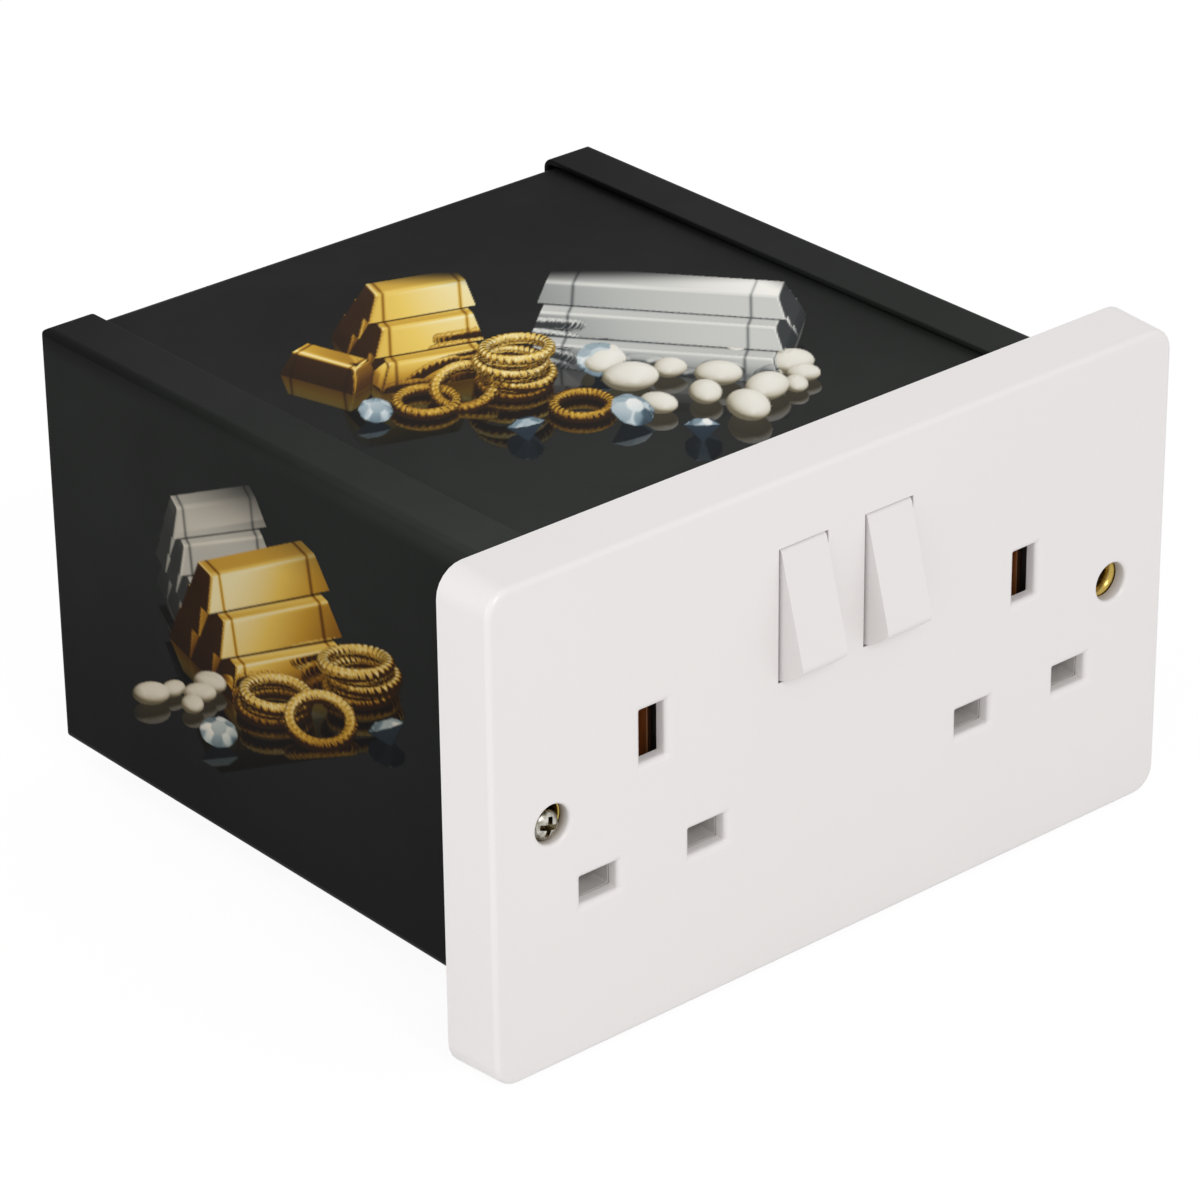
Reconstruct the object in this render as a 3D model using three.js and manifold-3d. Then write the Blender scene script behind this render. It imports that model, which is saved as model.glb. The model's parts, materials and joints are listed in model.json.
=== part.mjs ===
// A safe that looks like a twin switched wall socket. The socket front is the face of a
// drawer, and the drawer slides out of a folded steel box that sits inside the wall.
// Millimetres. X runs to the right seen from the front, Y into the wall, Z up.
// The design origin is the centre of the socket's front face. The finished group is
// moved so that its origin is the centre of the underside of its bounding box.

import * as THREE from "three";
import { mergeVertices } from "three/addons/utils/BufferGeometryUtils.js";
import Module from "manifold-3d";

const wasm = await Module();
wasm.setup();

// Socket front: a standard twin plate
const plateWidth = 146;
const plateHeight = 87;
const plateDepth = 11;
const plateFrontWall = 2.4;
const plateSideWall = 2.4;
const plateDraft = 0.6;
const plateEdgeRadius = 1.0;
const plateCornerRadius = 5;
const plateRibWidth = 1.2;
const plateRibDepth = 2.6;
const plateRibDrop = 10.2;

// Pin apertures
const socketInset = 33;
const earthCentreZ = 8.4;
const linePinDrop = 22.23;
const linePinHalfSpacing = 11.12;
const earthWidth = 5.1;
const earthHeight = 9.2;
const linePinWidth = 7.5;
const linePinHeight = 4.8;
const apertureCornerRadius = 0.4;
const apertureFillet = 1.0;

// Screw positions: the left one holds a screw, the right one is the keyhole
const screwInset = 12.7;
const screwHoleRadius = 3.35;
const screwHoleFillet = 0.7;
const bossWall = 1.3;

// Rocker switches
const rockerCentreX = 9.1;
const rockerCentreZ = 19.45;
const rockerOpeningWidth = 10.4;
const rockerOpeningHeight = 23.3;
const rockerGap = 0.3;
const rockerSideGap = 0.45;
const rockerPivotDepth = 3.6;
const rockerHalfThrow = 15.5;
const rockerSkirt = 1.6;
const rockerWall = 1.1;
const rockerEdge = 0.7;
const rockerPinRadius = 0.9;
const rockerPinLength = 1.1;
const rockerStemReach = 3.0;
const rockerStemThickness = 1.8;
const rockerStemWidth = 2.4;

// Cradle that carries the rockers behind the front wall
const cradleWall = 1.3;
const cradleFloor = 0.5;
const cradlePinClearance = 0.2;
const leafThickness = 0.3;
const leafWidth = 3.0;
const leafHalfLength = 8.5;

// Mouldings behind the pin apertures
const pocketWall = 1.0;
const pocketBack = 0.6;
const pocketLedge = 0.15;
const pocketCornerRadius = 0.3;
const pocketBarHeight = 3.0;
const pocketBarDepth = 1.6;
const earthHousingWall = 1.2;
const contactThickness = 0.45;
const contactSetback = 1.7;
const contactFlare = 0.35;
const contactReach = 3.2;
const contactEase = 0.3;

// Brass bushes and the screw that closes the left one
const bushRadius = 4.0;
const bushLength = 4.4;
const bushBoreLeft = 2.75;
const bushBoreRight = 2.3;
const bushRearBoreLeft = 2.6;
const bushRearBoreRight = 1.9;
const bushShoulder = 3.0;
const bushChamfer = 0.4;
const headRim = 0.5;
const screwHeadRadius = 2.45;
const screwHeadHeight = 1.7;
const screwShankRadius = 1.6;
const screwShankLength = 4.0;
const screwSag = 0.68;
const screwDrift = 0.15;
const screwCrossWidth = 0.75;
const screwCrossLength = 3.4;
const screwCrossDepth = 0.9;

// Lock
const barrelHeadRadius = 2.1;
const barrelHeadLength = 0.9;
const barrelShankRadius = 1.7;
const keySocketSize = 2.0;
const keySocketDepth = 1.6;
const camLength = 11;
const camWidth = 5.5;
const camTipWidth = 3.8;
const camTipLength = 1.4;
const camThickness = 1.0;
const camSquare = 2.3;
const camNutFlats = 4.6;
const camNutHeight = 0.65;
const keeperWidth = 6.5;
const keeperSheet = 1.0;
const keeperEngagement = 4.4;
const keeperReach = 4;
const keeperFootLength = 8.5;
const rivetRadius = 1.0;
const rivetHeadRadius = 1.7;
const rivetHeadHeight = 0.7;
const rivetSpacing = 4.0;

// Steel box
const boxSideInset = 13;
const boxLevelInset = 5;
const boxDepth = 120;
const boxSheet = 1.0;
const boxBendRadius = 2.0;
const flangeWidth = 10.5;
const wrapBendRadius = 2.5;

// Wall flange at the mouth of the box
const flangeFrameMargin = 1.1;
const flangeFrameCorner = 2.5;
const flangeFrameSheet = 1.2;
const mouthSideGap = 1.5;
const mouthLowerGap = 0.9;
const mouthUpperGap = 3.5;
const wallScrewRadius = 2.1;
const wallScrewInsetX = 6.6;
const wallScrewInsetZ = 10.1;

// Drawer tray
const traySideGap = 2.3;
const traySheet = 1.0;
const trayRearClearance = 3.8;
const trayBendRadius = 1.5;
const trayTabGap = 1.0;
const trayTabHeight = 5.4;
const trayTabHalfWidth = 40;
const glideThickness = 0.8;
const glideWidth = 8;
const glideInset = 9.5;
const glideEndClearance = 3.0;
const trayScrewInset = 6;
const trayBossRadius = 3.4;
const trayScrewRadius = 1.3;
const trayScrewHead = 2.8;
const trayScrewHeadHeight = 1.6;
const trayScrewLength = 4.6;

// Clearances
const seat = 0.2;
const stopGap = 0.3;
const overlap = 0.2;
const round = 32;
const smallRound = 20;
const arcSteps = 6;
const smallArcSteps = 3;
const filletSteps = 4;

// Places that follow from the sizes
const plateHalfWidth = plateWidth / 2;
const plateHalfHeight = plateHeight / 2;
const socketCentreX = plateHalfWidth - socketInset;
const screwCentreX = plateHalfWidth - screwInset;
const linePinZ = earthCentreZ - linePinDrop;
const hollowHalfWidth = plateHalfWidth - plateSideWall;
const hollowHalfHeight = plateHalfHeight - plateSideWall;
const frameFront = plateDepth - flangeFrameSheet;
const inserts = frameFront - seat;
const rearOfWall = plateFrontWall + seat;
const boxFront = plateDepth + seat;
const boxBack = plateDepth + boxDepth;
const boxHalfWidth = plateHalfWidth - boxSideInset;
const boxHalfHeight = plateHalfHeight - boxLevelInset;
const wrapHalfWidth = boxHalfWidth - boxBendRadius - seat;
const wrapHalfHeight = boxHalfHeight - boxSheet - seat;
const wrapBack = boxBack - boxSheet - seat;
const boxFloor = -(wrapHalfHeight - boxSheet);
const glideBottom = boxFloor + seat;
const trayBottom = glideBottom + glideThickness + seat;
const trayBack = wrapBack - boxSheet - trayRearClearance;
const trayHalfWidth = wrapHalfWidth - traySideGap;
const trayTabTop = wrapHalfHeight - boxSheet - trayTabGap;
const trayWallTop = trayTabTop - trayTabHeight;
const glideCentreX = trayHalfWidth - glideInset;
const mouthHalfWidth = trayHalfWidth + mouthSideGap;
const mouthBottom = trayBottom - mouthLowerGap;
const mouthTop = trayWallTop + mouthUpperGap;
const keeperTongueStart = camLength - keeperEngagement;
const keeperWebZ = camLength + keeperReach;
const bossRadius = bushRadius + seat + bossWall;
const bushFront = rearOfWall;
const bushBack = bushFront + bushLength;
const rockerHalfHeight = rockerOpeningHeight / 2 - rockerGap;
const rockerHalfWidth = rockerOpeningWidth / 2 - rockerSideGap;
const rockerRadius = Math.hypot(rockerHalfHeight, rockerPivotDepth);
const cradleHalfWidth = rockerCentreX + rockerHalfWidth + rockerPinLength + cradleWall;
const bayHalfHeight = rockerRadius + rockerGap;
const cradleHalfHeight = bayHalfHeight + cradleWall;
const pocketHalfWidth = linePinWidth / 2 - pocketLedge;
const pocketHalfHeight = linePinHeight / 2 - pocketLedge;
const pocketsHalfWidth = linePinHalfSpacing + pocketHalfWidth + pocketWall;
const plateRibX = (cradleHalfWidth + socketCentreX - pocketsHalfWidth) / 2;
const plateRibZ = linePinZ - plateRibDrop;
const halfThrow = THREE.MathUtils.degToRad(rockerHalfThrow);

// Solids

function positionsOnly(geometry) {
  const bare = geometry.clone();
  bare.deleteAttribute("normal");
  bare.deleteAttribute("uv");
  return mergeVertices(bare, 1e-5);
}

function signedVolume(geometry) {
  const points = geometry.getAttribute("position");
  const index = geometry.getIndex();
  const [a, b, c] = [new THREE.Vector3(), new THREE.Vector3(), new THREE.Vector3()];
  let volume = 0;
  for (let i = 0; i < index.count; i += 3) {
    a.fromBufferAttribute(points, index.getX(i));
    b.fromBufferAttribute(points, index.getX(i + 1));
    c.fromBufferAttribute(points, index.getX(i + 2));
    volume += a.dot(b.cross(c)) / 6;
  }
  return volume;
}

function solid(geometry) {
  const merged = positionsOnly(geometry);
  const triangles = Uint32Array.from(merged.getIndex().array);
  if (signedVolume(merged) < 0) {
    for (let i = 0; i < triangles.length; i += 3) {
      [triangles[i], triangles[i + 1]] = [triangles[i + 1], triangles[i]];
    }
  }
  const vertices = Float32Array.from(merged.getAttribute("position").array);
  return new wasm.Manifold(new wasm.Mesh({ numProp: 3, vertProperties: vertices, triVerts: triangles }));
}

function join(first, ...others) {
  return others.reduce((whole, piece) => whole.add(piece), first);
}

function cut(first, ...tools) {
  return tools.reduce((whole, tool) => whole.subtract(tool), first);
}

function toGeometry(body) {
  const mesh = body.getMesh();
  const geometry = new THREE.BufferGeometry();
  geometry.setAttribute("position", new THREE.BufferAttribute(Float32Array.from(mesh.vertProperties), 3));
  geometry.setIndex(new THREE.BufferAttribute(Uint32Array.from(mesh.triVerts), 1));
  geometry.computeVertexNormals();
  return geometry;
}

// Shapes drawn in a plane and pushed along one axis

function extrude(shape, depth, basis, shift, curveSegments) {
  const options = { depth, bevelEnabled: false, curveSegments };
  const geometry = new THREE.ExtrudeGeometry(shape, options);
  geometry.applyMatrix4(new THREE.Matrix4().makeBasis(...basis));
  geometry.translate(...shift);
  return solid(geometry);
}

const unitX = new THREE.Vector3(1, 0, 0);
const unitY = new THREE.Vector3(0, 1, 0);
const unitZ = new THREE.Vector3(0, 0, 1);
const backwards = new THREE.Vector3(0, -1, 0);

// The shape's first coordinate is Y and its second is Z
function alongX(shape, from, to, steps = arcSteps) {
  return extrude(shape, to - from, [unitY, unitZ, unitX], [from, 0, 0], steps);
}

// The shape's first coordinate is X and its second is Z
function alongY(shape, from, to, steps = arcSteps) {
  return extrude(shape, to - from, [unitX, unitZ, backwards], [0, to, 0], steps);
}

// The shape's first coordinate is X and its second is Y
function alongZ(shape, from, to, steps = arcSteps) {
  return extrude(shape, to - from, [unitX, unitY, unitZ], [0, 0, from], steps);
}

function roundedRect(low, high, radii) {
  const [x0, y0] = low;
  const [x1, y1] = high;
  const [r00, r10, r11, r01] = Array.isArray(radii) ? radii : [radii, radii, radii, radii];
  const shape = new THREE.Shape();
  shape.moveTo(x0 + r00, y0);
  shape.lineTo(x1 - r10, y0);
  if (r10 > 0) shape.absarc(x1 - r10, y0 + r10, r10, -Math.PI / 2, 0, false);
  shape.lineTo(x1, y1 - r11);
  if (r11 > 0) shape.absarc(x1 - r11, y1 - r11, r11, 0, Math.PI / 2, false);
  shape.lineTo(x0 + r01, y1);
  if (r01 > 0) shape.absarc(x0 + r01, y1 - r01, r01, Math.PI / 2, Math.PI, false);
  shape.lineTo(x0, y0 + r00);
  if (r00 > 0) shape.absarc(x0 + r00, y0 + r00, r00, Math.PI, Math.PI * 1.5, false);
  return shape;
}

function box(x, y, z) {
  const geometry = new THREE.BoxGeometry(x[1] - x[0], y[1] - y[0], z[1] - z[0]);
  geometry.translate((x[0] + x[1]) / 2, (y[0] + y[1]) / 2, (z[0] + z[1]) / 2);
  return solid(geometry);
}

// A profile of [radius, y] points turned about a line along Y at (x, z)
function turned(profile, x = 0, z = 0, segments = round) {
  const points = profile.map(([radius, y]) => new THREE.Vector2(radius, y));
  const geometry = new THREE.LatheGeometry(points, segments);
  geometry.translate(x, 0, z);
  return solid(geometry);
}

// Points of a domed head from its crown to the edge of its underside
function domedHead(radius, crown, underside) {
  const rim = underside - Math.sign(underside - crown) * headRim;
  const points = [];
  for (let step = 0; step <= smallArcSteps; step += 1) {
    const angle = (Math.PI / 2) * (step / smallArcSteps);
    points.push([radius * Math.sin(angle), rim + (crown - rim) * Math.cos(angle)]);
  }
  return [...points, [radius, underside]];
}

function rod(radius, from, to, x = 0, z = 0, segments = round) {
  return turned([[0, from], [radius, from], [radius, to], [0, to]], x, z, segments);
}

// Rounded rectangles stacked along Y, each with its own size and corner radius
function loft(rings, x = 0, z = 0, steps = arcSteps) {
  const corners = [[1, 1], [-1, 1], [-1, -1], [1, -1]];
  const vertices = [];
  for (const ring of rings) {
    corners.forEach(([sideX, sideZ], corner) => {
      for (let step = 0; step <= steps; step += 1) {
        const angle = (Math.PI / 2) * (corner + step / steps);
        const centreX = sideX * (ring.halfWidth - ring.radius);
        const centreZ = sideZ * (ring.halfHeight - ring.radius);
        vertices.push(
          x + centreX + ring.radius * Math.cos(angle),
          ring.y,
          z + centreZ + ring.radius * Math.sin(angle),
        );
      }
    });
  }
  const count = corners.length * (steps + 1);
  const faces = [];
  for (let ring = 0; ring < rings.length - 1; ring += 1) {
    for (let point = 0; point < count; point += 1) {
      const next = (point + 1) % count;
      const [a, b] = [ring * count + point, ring * count + next];
      faces.push(a, b, b + count, a, b + count, a + count);
    }
  }
  const last = (rings.length - 1) * count;
  for (let point = 1; point < count - 1; point += 1) {
    faces.push(0, point + 1, point, last, last + point, last + point + 1);
  }
  const geometry = new THREE.BufferGeometry();
  geometry.setAttribute("position", new THREE.Float32BufferAttribute(vertices, 3));
  geometry.setIndex(faces);
  return solid(geometry);
}

// Colours and finishes

const finishes = {
  whitePlastic: { color: 0xe6e3e1, roughness: 0.35, metalness: 0 },
  greyPlastic: { color: 0xc4c2c0, roughness: 0.5, metalness: 0 },
  blackPlastic: { color: 0x171615, roughness: 0.6, metalness: 0 },
  blackSteel: { color: 0x2d302f, roughness: 0.45, metalness: 0.2 },
  brightSteel: { color: 0xb9b7b0, roughness: 0.3, metalness: 1 },
  brass: { color: 0xb8913f, roughness: 0.3, metalness: 1 },
  copper: { color: 0x8a4a20, roughness: 0.4, metalness: 1 },
};

function part(name, body, finish) {
  const mesh = new THREE.Mesh(toGeometry(body), new THREE.MeshStandardMaterial(finishes[finish]));
  mesh.name = name;
  return mesh;
}

// Socket front

function plateRings(halfWidth, halfHeight, from, to, cornerRadius, edgeRadius, draft) {
  const rings = [];
  for (let step = 0; step <= arcSteps; step += 1) {
    const angle = (Math.PI / 2) * (step / arcSteps);
    const inset = draft + edgeRadius * (1 - Math.sin(angle));
    rings.push({
      y: from + edgeRadius * (1 - Math.cos(angle)),
      halfWidth: halfWidth - inset,
      halfHeight: halfHeight - inset,
      radius: cornerRadius - inset,
    });
  }
  rings.push({ y: to, halfWidth, halfHeight, radius: cornerRadius });
  return rings;
}

// How far a rounded edge stands off its opening at each depth. The first point lies in front
// of the face, on the line that the first facet follows, so that the cut starts cleanly.
function roundedEdge(radius) {
  const points = [];
  for (let step = 1; step <= filletSteps; step += 1) {
    const angle = (Math.PI / 2) * (step / filletSteps);
    points.push([radius * (1 - Math.sin(angle)), radius * (1 - Math.cos(angle))]);
  }
  const [offset, depth] = points[0];
  return [[2 * radius - offset, -depth], ...points];
}

function apertureTool(x, z, width, height) {
  const edge = [...roundedEdge(apertureFillet), [0, plateFrontWall + overlap]];
  const rings = edge.map(([offset, y]) => ({
    y,
    halfWidth: width / 2 + offset,
    halfHeight: height / 2 + offset,
    radius: apertureCornerRadius + offset,
  }));
  return loft(rings, x, z, smallArcSteps);
}

function screwHoleTool(x) {
  const edge = roundedEdge(screwHoleFillet).map(([offset, y]) => [screwHoleRadius + offset, y]);
  const back = plateFrontWall + overlap;
  return turned([[0, edge[0][1]], ...edge, [screwHoleRadius, back], [0, back]], x);
}

// The opening's ends follow the sweep of the rocker about its pivot
function rockerOpeningTool(x) {
  const circle = new THREE.Shape();
  circle.absarc(rockerPivotDepth, rockerCentreZ, rockerRadius + rockerGap, 0, Math.PI * 2, false);
  const half = rockerOpeningWidth / 2;
  const options = { depth: rockerOpeningWidth, bevelEnabled: false, curveSegments: round * 2 };
  const geometry = new THREE.ExtrudeGeometry(circle, options);
  geometry.applyMatrix4(new THREE.Matrix4().makeBasis(unitY, unitZ, unitX));
  geometry.translate(x - half, 0, 0);
  return solid(geometry);
}

function trayBossPlaces() {
  const heights = [trayWallTop - trayScrewInset, trayBottom + trayScrewInset];
  return [-1, 1].flatMap((side) => heights.map((z) => [side * (trayHalfWidth - trayScrewInset), z]));
}

// Room for an insert behind the front wall, so that the ribs stop short of it
function relief(x, z, halfWidth, halfHeight) {
  return box(
    [x - halfWidth - seat, x + halfWidth + seat],
    [plateFrontWall, plateDepth],
    [z - halfHeight - seat, z + halfHeight + seat],
  );
}

function makeFaceplate() {
  const outer = loft(plateRings(
    plateHalfWidth, plateHalfHeight, 0, plateDepth, plateCornerRadius, plateEdgeRadius, plateDraft,
  ));
  const hollow = loft([
    {
      y: plateFrontWall,
      halfWidth: hollowHalfWidth - plateDraft,
      halfHeight: hollowHalfHeight - plateDraft,
      radius: plateCornerRadius - plateSideWall,
    },
    {
      y: plateDepth + overlap,
      halfWidth: hollowHalfWidth,
      halfHeight: hollowHalfHeight,
      radius: plateCornerRadius - plateSideWall,
    },
  ]);
  const ribBack = plateFrontWall + plateRibDepth;
  const ribDepth = [plateFrontWall - overlap, ribBack];
  const ribs = [-1, 1].map((side) => box(
    [side * plateRibX - plateRibWidth / 2, side * plateRibX + plateRibWidth / 2],
    ribDepth,
    [-hollowHalfHeight, hollowHalfHeight],
  ));
  ribs.push(box(
    [-hollowHalfWidth, hollowHalfWidth],
    ribDepth,
    [plateRibZ - plateRibWidth / 2, plateRibZ + plateRibWidth / 2],
  ));
  const bosses = trayBossPlaces().map(
    ([x, z]) => rod(trayBossRadius, plateFrontWall - overlap, inserts, x, z, smallRound),
  );
  const bushBosses = [-1, 1].map(
    (side) => rod(bossRadius, plateFrontWall - overlap, bushBack - seat, side * screwCentreX),
  );
  const bores = [-1, 1].map(
    (side) => rod(bushRadius + seat, plateFrontWall, plateDepth, side * screwCentreX),
  );
  const pilotHoles = trayBossPlaces().map(
    ([x, z]) => rod(trayScrewRadius + seat, plateFrontWall + seat, plateDepth, x, z, smallRound),
  );
  const holes = [];
  for (const side of [-1, 1]) {
    const centre = side * socketCentreX;
    holes.push(apertureTool(centre, earthCentreZ, earthWidth, earthHeight));
    holes.push(apertureTool(centre - linePinHalfSpacing, linePinZ, linePinWidth, linePinHeight));
    holes.push(apertureTool(centre + linePinHalfSpacing, linePinZ, linePinWidth, linePinHeight));
    holes.push(screwHoleTool(side * screwCentreX));
    holes.push(rockerOpeningTool(side * rockerCentreX));
  }
  const shell = cut(outer, hollow);
  const reliefs = [relief(0, rockerCentreZ, cradleHalfWidth, cradleHalfHeight)];
  for (const side of [-1, 1]) {
    const pocketsHalfHeight = pocketHalfHeight + pocketWall;
    reliefs.push(relief(side * socketCentreX, linePinZ, pocketsHalfWidth, pocketsHalfHeight));
  }
  const web = cut(join(...ribs), ...reliefs);
  const inside = join(web, ...bosses, ...bushBosses).intersect(outer);
  return cut(join(shell, inside), ...bores, ...pilotHoles, ...holes);
}

// Moulding with the two pockets behind the lower apertures

function makePinPockets(centre) {
  const pockets = [-1, 1].map((side) => {
    const x = centre + side * linePinHalfSpacing;
    const inner = alongY(roundedRect(
      [x - pocketHalfWidth, linePinZ - pocketHalfHeight],
      [x + pocketHalfWidth, linePinZ + pocketHalfHeight],
      pocketCornerRadius,
    ), rearOfWall - overlap, inserts - pocketBack, smallArcSteps);
    const outer = alongY(roundedRect(
      [x - pocketHalfWidth - pocketWall, linePinZ - pocketHalfHeight - pocketWall],
      [x + pocketHalfWidth + pocketWall, linePinZ + pocketHalfHeight + pocketWall],
      pocketCornerRadius + pocketWall,
    ), rearOfWall, inserts, smallArcSteps);
    return { inner, outer };
  });
  const bar = box(
    [centre - linePinHalfSpacing, centre + linePinHalfSpacing],
    [rearOfWall, rearOfWall + pocketBarDepth],
    [linePinZ - pocketBarHeight / 2, linePinZ + pocketBarHeight / 2],
  );
  const whole = join(bar, ...pockets.map((pocket) => pocket.outer));
  return cut(whole, ...pockets.map((pocket) => pocket.inner));
}

// Earth contact and the black moulding that holds it

const contactInner = earthWidth / 2;
const contactOuter = contactInner + contactThickness;
const contactBack = inserts - pocketBack - seat;
const contactHalfHeight = earthHeight / 2 + contactReach;

function makeEarthHousing(centre) {
  const halfWidth = contactOuter + contactFlare + seat;
  const halfHeight = contactHalfHeight + contactEase;
  const inner = alongY(roundedRect(
    [centre - halfWidth, earthCentreZ - halfHeight],
    [centre + halfWidth, earthCentreZ + halfHeight],
    apertureCornerRadius,
  ), rearOfWall - overlap, inserts - pocketBack, smallArcSteps);
  const outer = alongY(roundedRect(
    [centre - halfWidth - earthHousingWall, earthCentreZ - halfHeight - earthHousingWall],
    [centre + halfWidth + earthHousingWall, earthCentreZ + halfHeight + earthHousingWall],
    apertureCornerRadius + earthHousingWall,
  ), rearOfWall, inserts, smallArcSteps);
  return cut(outer, inner);
}

function makeEarthContact(centre) {
  const front = rearOfWall + contactSetback;
  const flareStart = front + 2 * contactFlare;
  const strip = new THREE.Shape();
  strip.moveTo(centre - contactOuter, contactBack);
  strip.lineTo(centre - contactOuter, flareStart);
  strip.lineTo(centre - contactOuter - contactFlare, front);
  strip.lineTo(centre - contactInner - contactFlare, front);
  strip.lineTo(centre - contactInner, flareStart);
  strip.lineTo(centre - contactInner, contactBack - contactThickness);
  strip.lineTo(centre + contactInner, contactBack - contactThickness);
  strip.lineTo(centre + contactInner, flareStart);
  strip.lineTo(centre + contactInner + contactFlare, front);
  strip.lineTo(centre + contactOuter + contactFlare, front);
  strip.lineTo(centre + contactOuter, flareStart);
  strip.lineTo(centre + contactOuter, contactBack);
  return alongZ(strip, earthCentreZ - contactHalfHeight, earthCentreZ + contactHalfHeight);
}

// Rocker: modelled level about its pivot, hollow, with pivot pins and a detent stem

const rockerTopAngle = Math.asin(rockerPivotDepth / rockerRadius);
const rockerFaceAngle = rockerTopAngle + halfThrow;
const rockerFaceDepth = rockerRadius * Math.sin(rockerFaceAngle);

function rockerOutline(radius, faceDepth, back, edge) {
  const faceAngle = Math.asin(faceDepth / radius);
  const edgeAngle = edge / radius;
  const start = Math.PI / 2 + faceAngle - edgeAngle;
  const end = Math.PI / 2 - Math.asin(back / radius);
  const cornerZ = radius * Math.cos(faceAngle);
  const shape = new THREE.Shape();
  shape.moveTo(-faceDepth, cornerZ - edge);
  shape.quadraticCurveTo(-faceDepth, cornerZ, radius * Math.cos(start), radius * Math.sin(start));
  shape.absarc(0, 0, radius, start, end, true);
  shape.lineTo(back, -radius * Math.sin(end));
  shape.absarc(0, 0, radius, -end, -start, true);
  shape.quadraticCurveTo(-faceDepth, -cornerZ, -faceDepth, -(cornerZ - edge));
  return shape;
}

function makeRocker() {
  const body = alongX(
    rockerOutline(rockerRadius, rockerFaceDepth, rockerSkirt, rockerEdge),
    -rockerHalfWidth,
    rockerHalfWidth,
  );
  const hollow = alongX(
    rockerOutline(
      rockerRadius - rockerWall, rockerFaceDepth - rockerWall, rockerSkirt + overlap, rockerEdge,
    ),
    -(rockerHalfWidth - rockerWall),
    rockerHalfWidth - rockerWall,
  );
  const pin = new THREE.CylinderGeometry(
    rockerPinRadius, rockerPinRadius, rockerPinLength + rockerWall, round,
  );
  pin.rotateZ(Math.PI / 2);
  const pinCentre = rockerHalfWidth + (rockerPinLength - rockerWall) / 2;
  const pins = [-1, 1].map((side) => solid(pin.clone().translate(side * pinCentre, 0, 0)));
  const stem = alongX(roundedRect(
    [-(rockerFaceDepth - rockerWall / 2), -rockerStemThickness / 2],
    [rockerStemReach, rockerStemThickness / 2],
    [0, rockerStemThickness / 2, rockerStemThickness / 2, 0],
  ), -rockerStemWidth / 2, rockerStemWidth / 2);
  return join(cut(body, hollow), ...pins, stem);
}

// Cradle with one bay for each rocker

function makeRockerCradle() {
  const outer = box(
    [-cradleHalfWidth, cradleHalfWidth],
    [rearOfWall, inserts],
    [rockerCentreZ - cradleHalfHeight, rockerCentreZ + cradleHalfHeight],
  );
  const floorFront = inserts - cradleFloor;
  const bayHalfWidth = rockerHalfWidth + rockerGap;
  const slotHalf = rockerPinRadius + cradlePinClearance;
  const slotHalfLength = rockerHalfWidth + rockerPinLength + cradlePinClearance;
  const tools = [-1, 1].flatMap((side) => {
    const x = side * rockerCentreX;
    const bay = box(
      [x - bayHalfWidth, x + bayHalfWidth],
      [rearOfWall - overlap, floorFront],
      [rockerCentreZ - bayHalfHeight, rockerCentreZ + bayHalfHeight],
    );
    const slot = alongX(roundedRect(
      [rearOfWall - overlap, rockerCentreZ - slotHalf],
      [rockerPivotDepth + slotHalf, rockerCentreZ + slotHalf],
      [0, slotHalf - seat / 2, slotHalf - seat / 2, 0],
    ), x - slotHalfLength, x + slotHalfLength);
    return [bay, slot];
  });
  const middleHalf = rockerCentreX - slotHalfLength - cradleWall / 2;
  if (middleHalf > seat) {
    tools.push(box(
      [-middleHalf, middleHalf],
      [rearOfWall - overlap, floorFront],
      [rockerCentreZ - bayHalfHeight, rockerCentreZ + bayHalfHeight],
    ));
  }
  return cut(outer, ...tools);
}

// Sprung strip on the cradle floor, humped where the rocker's stem passes over it

function makeDetentLeaf(centre) {
  const floorFront = inserts - cradleFloor;
  const ends = floorFront - seat / 2;
  const hump = rockerPivotDepth + rockerStemReach + stopGap + leafThickness;
  const back = [];
  const front = [];
  for (let step = 0; step <= smallRound; step += 1) {
    const z = leafHalfLength * (1 - (2 * step) / smallRound);
    const rise = (ends - hump) * (1 + Math.cos((Math.PI * z) / leafHalfLength)) / 2;
    back.push(new THREE.Vector2(ends - rise, rockerCentreZ + z));
    front.unshift(new THREE.Vector2(ends - rise - leafThickness, rockerCentreZ + z));
  }
  return alongX(new THREE.Shape([...back, ...front]), centre - leafWidth / 2, centre + leafWidth / 2);
}

// Bushes behind the two screw holes

function makeBush(x, bore, rearBore) {
  const shoulder = bushFront + bushShoulder;
  return turned([
    [bore + bushChamfer, bushFront],
    [bushRadius, bushFront],
    [bushRadius, bushBack],
    [rearBore, bushBack],
    [rearBore, shoulder],
    [bore, shoulder],
    [bore, bushFront + bushChamfer],
    [bore + bushChamfer, bushFront],
  ], x);
}

function makeFixingScrew() {
  const x = -screwCentreX - screwDrift;
  const underside = bushFront - seat;
  const top = underside - screwHeadHeight;
  const screw = turned([
    ...domedHead(screwHeadRadius, top, underside),
    [screwShankRadius, underside],
    [screwShankRadius, underside + screwShankLength],
    [0, underside + screwShankLength + screwShankRadius],
  ], x, -screwSag);
  const depth = [top - overlap, top + screwCrossDepth];
  const slots = [[screwCrossWidth, screwCrossLength], [screwCrossLength, screwCrossWidth]].map(
    ([width, height]) => box(
      [x - width / 2, x + width / 2],
      depth,
      [-screwSag - height / 2, -screwSag + height / 2],
    ),
  );
  return cut(screw, ...slots);
}

// Lock, modelled about its own axis

const barrelFront = bushFront + bushShoulder - seat - barrelHeadLength;
const camFront = bushBack + seat;
const camBack = camFront + camThickness;
const nutFront = camBack + seat / 2;
const nutBack = nutFront + camNutHeight;

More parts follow.
